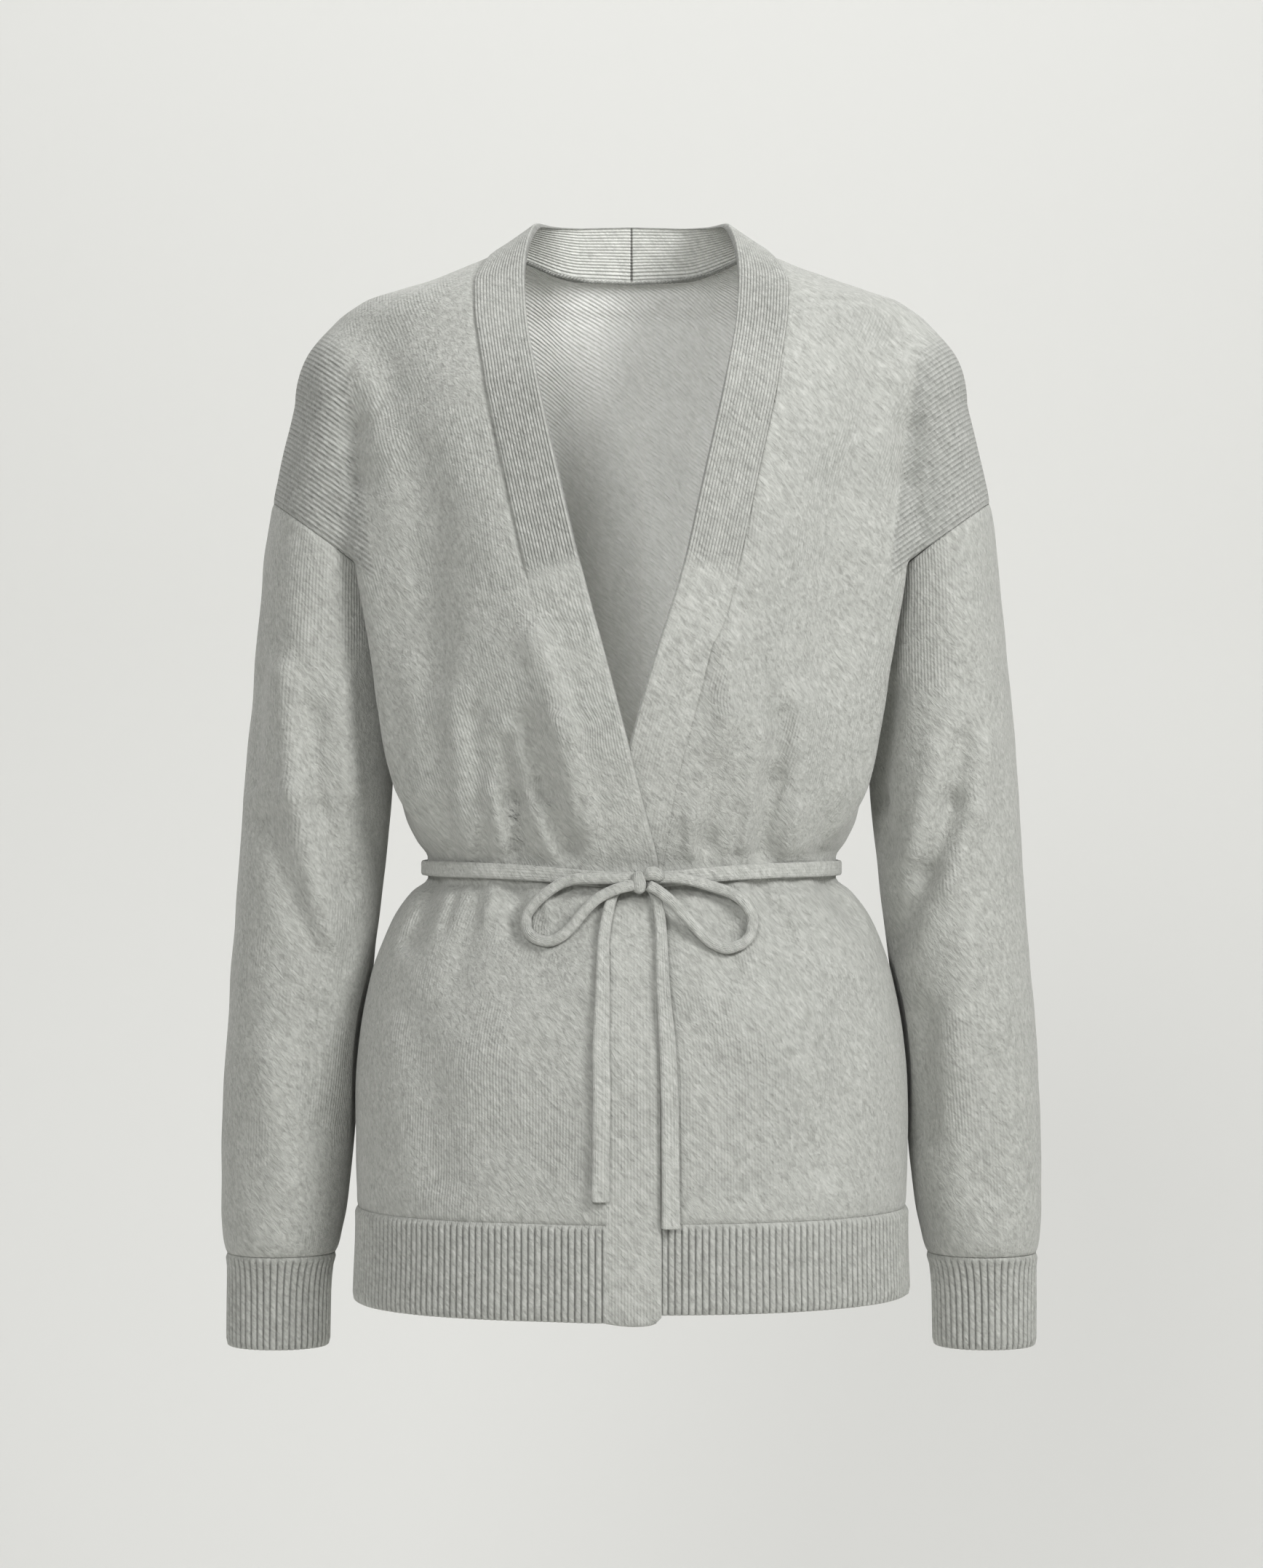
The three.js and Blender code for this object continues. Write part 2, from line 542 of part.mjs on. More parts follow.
// Grid of a front's outer face: rows from the hem seam up, columns from the band out
function frontGrid(side) {
  const { sign, field } = side;
  const ts = frontStations(side);
  const lower = LOWER_ROWS.map((z, r) => {
    const seam = seamPoint(side, ts[r]);
    const line = halfSection(sign, z).filter((p) => Math.abs(p[0]) > Math.abs(seam[0]) + 1 || p[1] > -40);
    const stop = line.findIndex((p) => p[1] >= sideSeamDepth(z));
    const points = resample([[seam[0], seam[1], z], ...line.slice(0, stop)], FRONT_COLUMNS);
    return points.map((p, c) => {
      if (c === 0) return seam;
      const raised = [p[0], p[1], rowHeight(z, p[0], p[1])];
      return settle(field, raised, c === FRONT_COLUMNS ? [1, 0, 0] : LEVEL);
    });
  });
  const left = ts.slice(LOWER_ROWS.length - 1).map((t) => seamPoint(side, t));
  const armhole = armholeHalf(sign, -1);
  const bottom = lower[lower.length - 1];
  bottom[FRONT_COLUMNS] = armhole[0];
  const upper = coons(bottom, shoulderSeam(sign), left, armhole);
  const grid = [...lower, ...upper.slice(1).map((row, r) => row.map((p, c) => {
    const edge = c === 0 || c === FRONT_COLUMNS || r === UPPER_ROWS - 1;
    return edge ? p : settle(field, p);
  }))];
  return relax(grid, field, LOWER_ROWS.length - 3, 24);
}

// Back neck from the right shoulder to the left one
function backNeck() {
  const half = (side) => Array.from({ length: NECK_COLUMNS + 1 }, (_, i) => (
    seamPoint(side, (side.band.neck * i) / NECK_COLUMNS)
  ));
  return [...half(SIDES.right).reverse(), ...half(SIDES.left).slice(1)];
}

// Grid of the back's outer face, from the wearer's right side to the left
function backGrid() {
  const columns = 2 * (FRONT_COLUMNS + NECK_COLUMNS);
  const lower = LOWER_ROWS.map((z) => {
    const depth = sideSeamDepth(z);
    const right = halfSection(-1, z).filter((p) => p[1] >= depth);
    const left = halfSection(1, z).filter((p) => p[1] >= depth);
    const points = resample([...right, ...left.reverse().slice(1)], columns);
    return points.map((p, c) => {
      const side = c === 0 || c === columns;
      const level = [p[0], side ? depth : p[1], z];
      return settle(bodyField, level, side ? [1, 0, 0] : LEVEL);
    });
  });
  const right = armholeHalf(-1, 1);
  const left = armholeHalf(1, 1);
  const bottom = lower[lower.length - 1];
  bottom[0] = right[0];
  bottom[columns] = left[0];
  const top = [...shoulderSeam(-1).reverse(), ...backNeck().slice(1, -1), ...shoulderSeam(1)];
  const upper = coons(bottom, top, right, left);
  const grid = [...lower, ...upper.slice(1).map((row, r) => row.map((p, c) => {
    const edge = c === 0 || c === columns || r === UPPER_ROWS - 1;
    return edge ? p : settle(bodyField, p);
  }))];
  return relax(grid, bodyField, LOWER_ROWS.length - 3, 24);
}

// Keep a sleeve point clear of the body beside it
function clearOfBody(p, sign) {
  let q = p;
  for (let round = 0; round < 4; round += 1) {
    const gap = torsoField(...q) - SLEEVE_CLEARANCE;
    const push = gap < 0 ? -gap : 0;
    q = [q[0] + sign * push * 1.05, q[1], q[2]];
  }
  return q;
}

// Grid of a sleeve's outer face: rings from the armhole down, columns round it
function sleeveGrid(sign) {
  const front = armholeHalf(sign, -1);
  const back = armholeHalf(sign, 1);
  const ring = [...front, ...back.slice(1, -1).reverse()];
  const folds = sign < 0 ? SLEEVE_RIGHT_FOLDS : SLEEVE_LEFT_FOLDS;
  const count = ring.length;
  return SLEEVE_ROWS.map((v) => ring.map((start, c) => {
    const angle = (Math.PI * (c <= UPPER_ROWS ? c : count - c)) / UPPER_ROWS;
    const bend = c <= UPPER_ROWS ? -1 : 1;
    const z = mix(start[2], CUFF_SEAM, v);
    const local = sleevePoint(angle, bend, z);
    const p = [-sign * local[0], local[1], z];
    const root = sleevePoint(angle, bend, start[2]);
    const keep = smooth(1 - v / 0.15);
    const moved = plus(p, [start[0] + sign * root[0], start[1] - root[1], 0], keep);
    const centre = [-sign * sleeveX(z), sleeveY(z), z];
    const out = unit(minus(moved, centre));
    const rise = bend < 0
      ? foldHeight(folds, moved[0], z)
      : foldHeight(SLEEVE_BACK_FOLDS, -Math.abs(moved[0]), z);
    const facing = smooth(Math.abs(out[1]) / 0.5) * (1 - keep);
    const folded = plus(moved, out, rise * facing);
    return v < 0.02 ? start : clearOfBody(folded, sign);
  }));
}

// Outward normals of a grid's points, from its own faces
function gridNormals(grid, loop, outward) {
  const rows = grid.length;
  const columns = grid[0].length;
  return grid.map((row, r) => row.map((p, c) => {
    const next = loop ? row[(c + 1) % columns] : row[Math.min(c + 1, columns - 1)];
    const before = loop ? row[(c + columns - 1) % columns] : row[Math.max(c - 1, 0)];
    const above = grid[Math.min(r + 1, rows - 1)][c];
    const below = grid[Math.max(r - 1, 0)][c];
    return plus([0, 0, 0], unit(cross(minus(next, before), minus(above, below))), outward);
  }));
}

// Pull the edges of a panel in along the cloth, to leave the gap of a seam; left
// and right hold the gaps of an armhole that the upper rows end at, the lowest of
// which is on the side seam too
function pullPanel(grid, left, right, bend) {
  const rows = grid.length - 1;
  const columns = grid[0].length - 1;
  const toward = (p, q) => plus(p, unit(minus(q, p)), SEAM_GAP / 2);
  const side = (gaps, r, p, q) => {
    const at = r - rows + UPPER_ROWS;
    if (!gaps || at < 0) return toward(p, q);
    return plus(plus(p, gaps[at]), [0, at > 0 ? 0 : bend, 0], SEAM_GAP / 2);
  };
  return grid.map((row, r) => row.map((p, c) => {
    let q = p;
    if (r === 0) q = toward(q, grid[1][c]);
    if (r === rows) q = toward(q, grid[rows - 1][c]);
    if (c === 0) q = side(left, r, q, row[1]);
    if (c === columns) q = side(right, r, q, row[columns - 1]);
    return q;
  }));
}

// The same for a sleeve's first and last ring
function pullSleeve(grid, sign) {
  const gaps = [...armholeGaps(sign, -1), ...armholeGaps(sign, 1).slice(1, -1).reverse()];
  const last = grid.length - 1;
  return grid.map((row, r) => row.map((p, c) => {
    if (r === 0) return minus(p, gaps[c]);
    return r === last ? plus(p, unit(minus(grid[last - 1][c], p)), SEAM_GAP / 2) : p;
  }));
}

// Join two lines of vertex numbers with triangles; they may differ in count. The
// diagonals run from the upper line's points, or from the lower line's when turned.
function stitch(triangles, lower, upper, turned = false) {
  let i = 0;
  let j = 0;
  while (i < lower.length - 1 || j < upper.length - 1) {
    const nextLower = (i + 1) / (lower.length - 1);
    const nextUpper = (j + 1) / (upper.length - 1);
    const lead = turned ? -1e-9 : 1e-9;
    const advanceLower = j === upper.length - 1 || (i < lower.length - 1 && nextLower <= nextUpper + lead);
    if (advanceLower) {
      triangles.push([lower[i], lower[i + 1], upper[j]]);
      i += 1;
    } else {
      triangles.push([lower[i], upper[j + 1], upper[j]]);
      j += 1;
    }
  }
}

function meshOf(points, triangles) {
  let volume = 0;
  for (const [a, b, c] of triangles) {
    const [p, q, r] = [points[a], points[b], points[c]];
    const n = cross(q, r);
    volume += p[0] * n[0] + p[1] * n[1] + p[2] * n[2];
  }
  const faces = volume < 0 ? triangles.map(([a, b, c]) => [a, c, b]) : triangles;
  const geometry = new THREE.BufferGeometry();
  geometry.setAttribute('position', new THREE.Float32BufferAttribute(points.flat(), 3));
  geometry.setIndex(faces.flat());
  geometry.computeVertexNormals();
  return geometry;
}

// Closed wall between an outer and an inner set of rows; turned sets the last
// edge's diagonals to match those of a neighbour
function wall(outer, inner, loop = false, turned = false) {
  const points = [];
  const number = (rows) => rows.map((row) => {
    const line = row.map((p) => points.push(p) - 1);
    return loop ? [...line, line[0]] : line;
  });
  const out = number(outer);
  const into = number(inner);
  const triangles = [];
  for (let r = 0; r < out.length - 1; r += 1) stitch(triangles, out[r], out[r + 1]);
  for (let r = 0; r < into.length - 1; r += 1) stitch(triangles, into[r + 1], into[r]);
  stitch(triangles, into[0], out[0]);
  stitch(triangles, out[out.length - 1], into[into.length - 1]);
  if (!loop) {
    const first = (rows) => rows.map((row) => row[0]);
    const last = (rows) => rows.map((row) => row[row.length - 1]);
    stitch(triangles, first(out), first(into));
    stitch(triangles, last(into), last(out), turned);
  }
  return meshOf(points, triangles);
}

// Cloth as a wall: seams on a form take its normals so that neighbours agree
function clothWall(pulled, normals, loop = false, turned = false) {
  const inner = pulled.map((row, r) => row.map((p, c) => plus(p, normals[r][c], -CLOTH_WALL)));
  return wall(pulled, inner, loop, turned);
}

const formNormals = (field, grid) => grid.map((row) => row.map((p) => unit(gradient(field, p))));

const group = new THREE.Group();

function piece(name, geometry) {
  const material = new THREE.MeshStandardMaterial({ color: CLOTH_COLOUR, roughness: 0.95, metalness: 0 });
  const mesh = new THREE.Mesh(geometry, material);
  mesh.name = name;
  group.add(mesh);
}

// Body panels
for (const [name, side] of Object.entries(SIDES)) {
  const grid = frontGrid(side);
  const pulled = pullPanel(grid, null, armholeGaps(side.sign, -1), -1);
  piece(`front_${name}`, clothWall(pulled, formNormals(side.field, grid)));
}

{
  const grid = backGrid();
  const pulled = pullPanel(grid, armholeGaps(-1, 1), armholeGaps(1, 1), 1);
  piece('back', clothWall(pulled, formNormals(bodyField, grid), false, true));
}

// Sleeves and cuffs
for (const [name, side] of Object.entries(SIDES)) {
  const grid = sleeveGrid(side.sign);
  const normals = gridNormals(grid, true, -side.sign);
  normals[0] = formNormals(bodyField, [grid[0]])[0];
  piece(`sleeve_${name}`, clothWall(pullSleeve(grid, side.sign), normals, true));
}

// Ribs round a line: high and low points by turns, outside a plain inner face
function ribWall(section, heights, ribs, loop) {
  const steps = 2 * ribs;
  const outer = heights.map((z) => {
    const line = section(z);
    const points = resample(loop ? [...line, line[0]] : line, steps);
    return points.slice(0, loop ? steps : steps + 1);
  });
  const offset = (row, amount) => row.map((p, c) => {
    const count = row.length;
    const next = loop ? row[(c + 1) % count] : row[Math.min(c + 1, count - 1)];
    const before = loop ? row[(c + count - 1) % count] : row[Math.max(c - 1, 0)];
    const along = unit(minus(next, before));
    return plus(p, [along[1], -along[0], 0], amount(c));
  });
  const ribbed = outer.map((row) => offset(row, (c) => (c % 2 === 0 ? 0 : RIB_HEIGHT)));
  const inner = outer.map((row) => offset(row, () => RIB_HEIGHT - RIB_WALL).filter((_, c) => (
    c % INNER_STRIDE === 0 || (!loop && c === row.length - 1)
  )));
  return wall(ribbed, inner, loop);
}

for (const [name, { sign }] of Object.entries(SIDES)) {
  const section = (z) => {
    const turns = CUFF_TURNS;
    const points = Array.from({ length: turns }, (_, i) => {
      const angle = (2 * Math.PI * i) / turns;
      const x = sleeveX(z) + sleeveWidth(z) * Math.cos(angle);
      return [-sign * x, sleeveY(z) - sleeveDepth(z) * Math.sin(angle), z];
    });
    return sign < 0 ? points.reverse() : points;
  };
  const heights = [CUFF_SEAM - SEAM_GAP, (CUFF_SEAM + CUFF_END) / 2, CUFF_END];
  piece(`cuff_${name}`, ribWall(section, heights, CUFF_RIBS, true));
}

// Hem ribs: the fronts' lines run from the band to the side, the back's from side to side
function hemSection(side, z) {
  const start = seamPoint(side, stationAt(side, Math.max(z, side.hem + 1)));
  const line = halfSection(side.sign, z).filter((p) => Math.abs(p[0]) > Math.abs(start[0]) + SEAM_GAP);
  const stop = line.findIndex((p) => p[1] >= 0);
  const points = [[start[0] + side.sign * SEAM_GAP, start[1], z], ...line.slice(0, stop)];
  const settled = points.map((p) => settle(side.field, p, LEVEL));
  settled.push([side.sign * halfWidth(z), -SEAM_GAP / 2, z]);
  return side.sign < 0 ? settled.reverse() : settled;
}

for (const [name, side] of Object.entries(SIDES)) {
  const heights = [HEM_SEAM - SEAM_GAP, side.hem];
  const ribs = Math.round(lineLength(hemSection(side, HEM_SEAM)) / RIB_PITCH);
  piece(`hem_rib_${name}`, ribWall((z) => hemSection(side, z), heights, ribs, false));
}

function lineLength(line) {
  return line.slice(1).reduce((sum, p, i) => sum + size(minus(p, line[i])), 0);
}

{
  const section = (z) => {
    const right = halfSection(-1, z).filter((p) => p[1] > SEAM_GAP / 2);
    const left = halfSection(1, z).filter((p) => p[1] > SEAM_GAP / 2);
    const line = [...left, ...right.reverse().slice(1)];
    const settled = line.map((p) => settle(bodyField, p, LEVEL));
    const ends = [[halfWidth(z), SEAM_GAP / 2, z], [-halfWidth(z), SEAM_GAP / 2, z]];
    return [ends[0], ...settled, ends[1]];
  };
  const length = lineLength(section(HEM_SEAM));
  const heights = [HEM_SEAM - SEAM_GAP, HEM_BACK];
  piece('hem_rib_back', ribWall(section, heights, Math.round(length / RIB_PITCH), false));
}

// Band: a strip between its seam and its free edge, straight across round the
// neck, and lying on the body below it
function bandBase(side, t, columns) {
  const seam = seamPoint(side, t);
  const planned = side.band.seam(t);
  const edge = side.band.edge(t);
  const onBody = smooth((BAND_LAID_FROM - planned[2]) / BAND_LAID_SPAN);
  const under = side.sign > 0 && planned[2] < UNDERARM;
  return Array.from({ length: columns + 1 }, (_, c) => {
    const share = c / columns;
    const straight = lerp(seam, edge, share);
    if (c === 0 || onBody === 0) return straight;
    const flat = [mix(seam[0], edge[0], share), straight[1], mix(seam[2], edge[2], share)];
    const form = under ? bodyField : side.field;
    const laid = settle(form, flat, [0, 1, 0]);
    return lerp(straight, laid, onBody);
  });
}

function bandPiece(side) {
  const columns = 2 * BAND_RIBS;
  const neck = Array.from({ length: NECK_COLUMNS }, (_, i) => (side.band.neck * i) / NECK_COLUMNS);
  const front = frontStations(side).reverse();
  const hem = [HEM_ROW, side.hem + HEM_CORNER, side.hem].map((z) => stationAt(side, z));
  const ts = [...neck, ...front, ...hem];
  const base = ts.map((t) => bandBase(side, t, columns));
  const normals = gridNormals(base, false, side.sign);
  const outer = [];
  const inner = [];
  base.forEach((row, r) => {
    const ribbed = side.band.seam(ts[r])[2] > BAND_RIBS_END;
    const pulled = row.map((p, c) => {
      if (c === 0) return plus(p, unit(minus(row[1], p)), SEAM_GAP);
      return p;
    }).map((p) => (r === 0 ? plus(p, [side.sign, 0, 0], SEAM_GAP / 2) : p));
    const level = r === 0 ? [0, 1, 1] : [1, 1, 1];
    const rootNormal = unit(gradient(side.field, row[0]));
    const normal = (c) => {
      const turned = lerp(rootNormal, normals[r][c], smooth(c / BAND_TURN));
      return unit(turned.map((value, axis) => value * level[axis]));
    };
    const raised = (c) => BAND_PROUD + (ribbed && c % 2 === 1 ? BAND_RIB_HEIGHT : 0);
    const lift = pulled.map((p, c) => plus(p, normal(c), raised(c)));
    outer.push(ribbed ? lift : PLAIN_LINES.map((c) => lift[c]));
    inner.push(INNER_LINES.map((c) => plus(pulled[c], normal(c), BAND_PROUD - BAND_WALL)));
  });
  return wall(outer, inner);
}

for (const [name, side] of Object.entries(SIDES)) piece(`band_${name}`, bandPiece(side));

// Belt: a flat knitted tube round the waist, tied in a bow at the front

// Depth of the surface that the belt's pieces lie on, at a point seen from the front
function restDepth(x, z) {
  const form = settle(bodyField, [x, -100, z], [0, 1, 0])[1];
  const wrap = wrapLift(x, z) * (1 - smooth((x - WRAP_END) / WRAP_FADE));
  return form - wrap - BAND_PROUD * (1 - smooth((Math.abs(x) - BAND_REACH) / BAND_FADE));
}

// Points of a rounded flat section, half a width by half a thickness
function flatSection(halfAcross, halfThick, count) {
  return Array.from({ length: count }, (_, i) => {
    const angle = (2 * Math.PI * (i + 0.5)) / count;
    const round = (value) => Math.sign(value) * Math.abs(value) ** BELT_ROUNDING;
    return [halfAcross * round(Math.cos(angle)), halfThick * round(Math.sin(angle))];
  });
}

// Sweep sections along a path; each section is set across the path and out from the body
function sweep(path, outward, section, closed) {
  const last = path.length - 1;
  const rings = path.map((p, i) => {
    const next = closed ? path[(i + 1) % path.length] : path[Math.min(i + 1, last)];
    const before = closed ? path[(i + last) % path.length] : path[Math.max(i - 1, 0)];
    const along = unit(minus(next, before));
    const across = unit(cross(along, outward(p, i)));
    const out = cross(across, along);
    return section(i / last).map(([a, b]) => plus(plus(p, across, a), out, b));
  });
  const points = rings.flat();
  const count = rings[0].length;
  const line = (r) => Array.from({ length: count + 1 }, (_, i) => r * count + (i % count));
  const triangles = [];
  for (let r = 0; r < last; r += 1) stitch(triangles, line(r), line(r + 1));
  if (closed) {
    stitch(triangles, line(last), line(0));
  } else {
    const first = points.push(path[0]) - 1;
    const end = points.push(path[last]) - 1;
    for (let i = 0; i < count; i += 1) {
      triangles.push([line(0)[i + 1], line(0)[i], first]);
      triangles.push([line(last)[i], line(last)[i + 1], end]);
    }
  }
  return meshOf(points, triangles);
}

function beltRing() {
  const half = (sign) => halfSection(sign, BELT_HEIGHT);
  const round = [...half(-1), ...half(1).reverse().slice(1, -1)];
  const line = resample([...round, round[0]], BELT_STEPS).slice(0, BELT_STEPS);
  const fields = line.map((p) => {
    const z = BELT_HEIGHT + beltDip(p[0], p[1]);
    const rest = settle(bodyField, [p[0], p[1], z], LEVEL);
    const slope = gradient(bodyField, rest);
    const out = unit([slope[0], slope[1], 0]);
    const wrap = p[1] < 0 ? rest[1] - restDepth(rest[0], z) : 0;
    const proud = BELT_CLEARANCE + BELT_THICK / 2 + (Math.abs(rest[0]) < WRAP_BELT_REACH ? wrap : 0);
    return { point: plus(rest, out, proud), out };
  });
  const section = flatSection(BELT_WIDTH / 2, BELT_THICK / 2, BELT_SIDES);
  return sweep(fields.map(({ point }) => point), (_, i) => fields[i].out, () => section, true);
}

piece('belt_waist', beltRing());

// Knot: a rounded wrap with a second, lower bulge beside it
function knot() {
  const front = restDepth(KNOT[0], KNOT[1]) - BELT_CLEARANCE - BELT_THICK - SEAM_GAP;
  const centre = [KNOT[0], front - KNOT_HALF[1], KNOT[1]];
  const points = [];
  const turns = KNOT_TURNS;
  const rows = KNOT_ROWS;
  for (let r = 1; r < rows; r += 1) {
    const tilt = (Math.PI * r) / rows;
    for (let i = 0; i < turns; i += 1) {
      const angle = (2 * Math.PI * i) / turns;
      const direction = [Math.cos(angle) * Math.sin(tilt), Math.sin(angle) * Math.sin(tilt), Math.cos(tilt)];
      const waist = 1 - KNOT_CREASE * bell(direction[0] - KNOT_CREASE_AT, KNOT_CREASE_WIDTH);
      points.push(centre.map((value, axis) => (
        value + KNOT_HALF[axis] * direction[axis] * (axis === 0 ? 1 : waist)
      )));
    }
  }
  const top = points.push(plus(centre, [0, 0, KNOT_HALF[2] * KNOT_POLE])) - 1;
  const foot = points.push(plus(centre, [0, 0, -KNOT_HALF[2] * KNOT_POLE])) - 1;
  const line = (r) => Array.from({ length: turns + 1 }, (_, i) => r * turns + (i % turns));
  const triangles = [];
  for (let r = 0; r < rows - 2; r += 1) stitch(triangles, line(r), line(r + 1));
  for (let i = 0; i < turns; i += 1) {
    triangles.push([line(0)[i + 1], line(0)[i], top]);
    triangles.push([line(rows - 2)[i], line(rows - 2)[i + 1], foot]);
  }
  return meshOf(points, triangles);
}

piece('belt_knot', knot());

// A bow or a free end along its route: x, height, distance out from what it lies on
function route(table, steps) {
  const rows = table.map((row, i) => [i, ...row]);
  const [x, z, out] = [1, 2, 3].map((column) => curve(rows, column));
  const dense = Array.from({ length: ROUTE_POINTS }, (_, i) => {
    const at = ((table.length - 1) * i) / (ROUTE_POINTS - 1);
    return [x(at), restDepth(x(at), z(at)) - out(at), z(at)];
  });
  return resample(dense, steps);
}

const FRONTWARD = () => [0, -1, 0];
const loopSection = flatSection(LOOP_DIAMETER / 2, LOOP_DIAMETER / 2, LOOP_SIDES);
piece('belt_loop_right', sweep(route(LOOP_RIGHT, LOOP_STEPS), FRONTWARD, () => loopSection, false));
piece('belt_loop_left', sweep(route(LOOP_LEFT, LOOP_STEPS), FRONTWARD, () => loopSection, false));

for (const [name, table] of Object.entries({ right: TAIL_RIGHT, left: TAIL_LEFT })) {
  const across = (share) => mix(TAIL_TOP, TAIL_END, smooth(share * TAIL_SPREAD));
  const section = (share) => flatSection(across(share) / 2, TAIL_THICK / 2, BELT_SIDES);
  piece(`belt_tail_${name}`, sweep(route(table, TAIL_STEPS), FRONTWARD, section, false));
}

export default group;
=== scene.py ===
"""A brushed grey knitted wrap cardigan, filled out with no wearer, on a plain pale floor.

Every cloth surface is a grid P(u, v): coarse seam and row points of the cut are
laid on a body form F(x, y, z) = 0, refined with cubic rows and columns, and moved
back on to the form by p - F(p) grad F(p) / |grad F(p)|^2. The form is the soft
union of a superellipse torso and elliptic sleeves, less the folds and the crease
at the arm, h(x, z) = sum of rise * exp(-(distance to the fold's line / width)^2).
Each surface is a thin shell: its outer grid, the grid moved in by the wall along
the normals, and a rounded lip. Lengths are in millimetres until a mesh is made.
"""

import bpy
import numpy as np
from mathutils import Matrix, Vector


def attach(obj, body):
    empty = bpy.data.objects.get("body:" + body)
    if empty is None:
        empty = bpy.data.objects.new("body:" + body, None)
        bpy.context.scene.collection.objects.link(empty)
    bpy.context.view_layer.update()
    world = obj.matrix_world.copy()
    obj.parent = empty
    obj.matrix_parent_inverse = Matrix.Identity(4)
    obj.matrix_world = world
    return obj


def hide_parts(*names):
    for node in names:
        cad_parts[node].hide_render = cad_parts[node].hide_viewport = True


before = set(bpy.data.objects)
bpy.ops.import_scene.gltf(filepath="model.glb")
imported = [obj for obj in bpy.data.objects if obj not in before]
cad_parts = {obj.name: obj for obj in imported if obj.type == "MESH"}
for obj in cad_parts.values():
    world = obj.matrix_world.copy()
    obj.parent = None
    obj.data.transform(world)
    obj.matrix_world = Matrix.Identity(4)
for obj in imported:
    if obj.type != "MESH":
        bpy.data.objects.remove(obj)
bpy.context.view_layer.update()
MM = 0.001

# Sizes of the cut
CLOTH_WALL = 2.0
RIB_WALL = 2.6
BAND_WALL = 3.0
BAND_PROUD = 0.8
SEAM_GAP = 0.36
RIB_PITCH = 4.05
RIB_HEIGHT = 1.3
BAND_RIBS = 17
BAND_RIB_HEIGHT = 0.62
BAND_RIBS_END = -205.0
HEM_SEAM = -589.0
HEM_RIGHT = -646.0
HEM_LEFT = -642.0
HEM_BACK = -645.0
HEM_CORNER = 4.0
CUFF_SEAM = -620.7
CUFF_END = -678.0
CUFF_RIBS = 46
UNDERARM = -208.0
WRAP_LIFT = 4.4
SLEEVE_CLEARANCE = 2.5
BELT_HEIGHT = -381.5
BELT_WIDTH = 10.0
BELT_THICK = 3.6
BELT_CLEARANCE = 0.9
BELT_DIP = 5.5
LOOP_DIAMETER = 6.6
SECTION_POWER = 2.3
SEAM_SLOPE = 0.7
SEAM_OUTER = (-222.0, -157.0)
CAP_HEIGHT = -95.0
CAP_RISE = 49.0
BLOUSE_DEPTH = -57.0
BLOUSE_SPREAD = 17.0
FOLD_GAIN = 1.8
SLEEVE_FOLD_GAIN = 1.6
FRONT_COLUMNS = 11
NECK_COLUMNS = 4
UPPER_ROWS = 9
PANEL_ROWS = 220
FRONT_LINES = 88
BACK_LINES = 170
SLEEVE_ROWS = 190
SLEEVE_LINES = 108
BAND_ROWS = 330
LINES_PER_RIB = 8
LINES_PER_BAND_RIB = 5
LOWER_ROWS = [
    HEM_SEAM, -560, -525, -490, -462, -440, -424, -410, -398, BELT_HEIGHT - 6,
    BELT_HEIGHT + 6, -364, -350, -333, -308, -278, -243, UNDERARM,
]

# Uneven hand of the cloth: height and size of its low waves and of the finer ones
WAVE_HEIGHT = 0.55
PANEL_WAVE = 16
SLEEVE_WAVE = 15
FINE_WAVE_HEIGHT = 0.25
FINE_WAVE = 6
BAND_WAVE_HEIGHT = 0.35
BAND_WAVE = 14
RIB_WAVE = 12
# Depth of the roll into a seam, and where the band's seam fades out
SEAM_ROLL = 0.8
BAND_SEAM_DEPTH = 1.5
LEFT_SEAM_SHARE = 0.6
LEFT_SEAM_END = -310
BAND_FADE = 22

# Torso: height, half width, front depth, back depth
TORSO = [
    (10, 40, 30, 22), (4, 66, 42, 30), (0, 79, 50, 40), (-6.5, 93.6, 54, 53),
    (-13.8, 111.6, 60, 65), (-20.2, 129.6, 65, 69), (-26.2, 147.6, 70, 72),
    (-33, 165.6, 74, 76), (-45, 174, 81, 81), (-62, 172, 88, 87),
    (-90, 164, 101, 96), (-130, 155.5, 112, 101.5), (-180, 150, 120, 103),
    (-230, 147, 124, 103), (-300, 144.5, 116, 96), (-330, 143, 106, 90),
    (-350, 139, 98.5, 87), (-365, 132, 92, 83.5), (-375, 125.6, 88, 80.5),
    (-388, 125.6, 88, 80.5), (-396, 135, 92.5, 84), (-412, 147, 97, 88),
    (-430, 154.5, 103, 93), (-450, 161, 107, 100), (-485, 167.8, 113, 108),
    (-520, 170.4, 116, 113), (-560, 170.3, 118, 115.5), (-600, 169.3, 119, 117),
    (-650, 170.8, 119, 118),
]

# Sleeve: height, middle x, half width, middle y, half depth (wearer's right)
SLEEVE = [
    (-95, -172, 36.4, 10, 60), (-142, -180, 39.6, 11, 62), (-171, -186, 39, 12, 62),
    (-200, -188.5, 39.5, 12, 62), (-244, -190, 42.6, 12, 60), (-342, -195, 46, 12, 55),
    (-378, -198, 45, 12, 53.5), (-414, -201, 44.5, 12, 52), (-430, -202.7, 44.3, 12, 51),
    (-520, -211, 42.5, 14, 48), (-592, -216, 39, 15, 44), (-610, -217.3, 36.8, 15, 42),
    (-620, -217.8, 34.6, 15, 38), (-628, -218.6, 32.2, 15, 32), (-646, -219.4, 31.4, 15, 28),
    (-680, -219.8, 31.2, 15, 27),
]

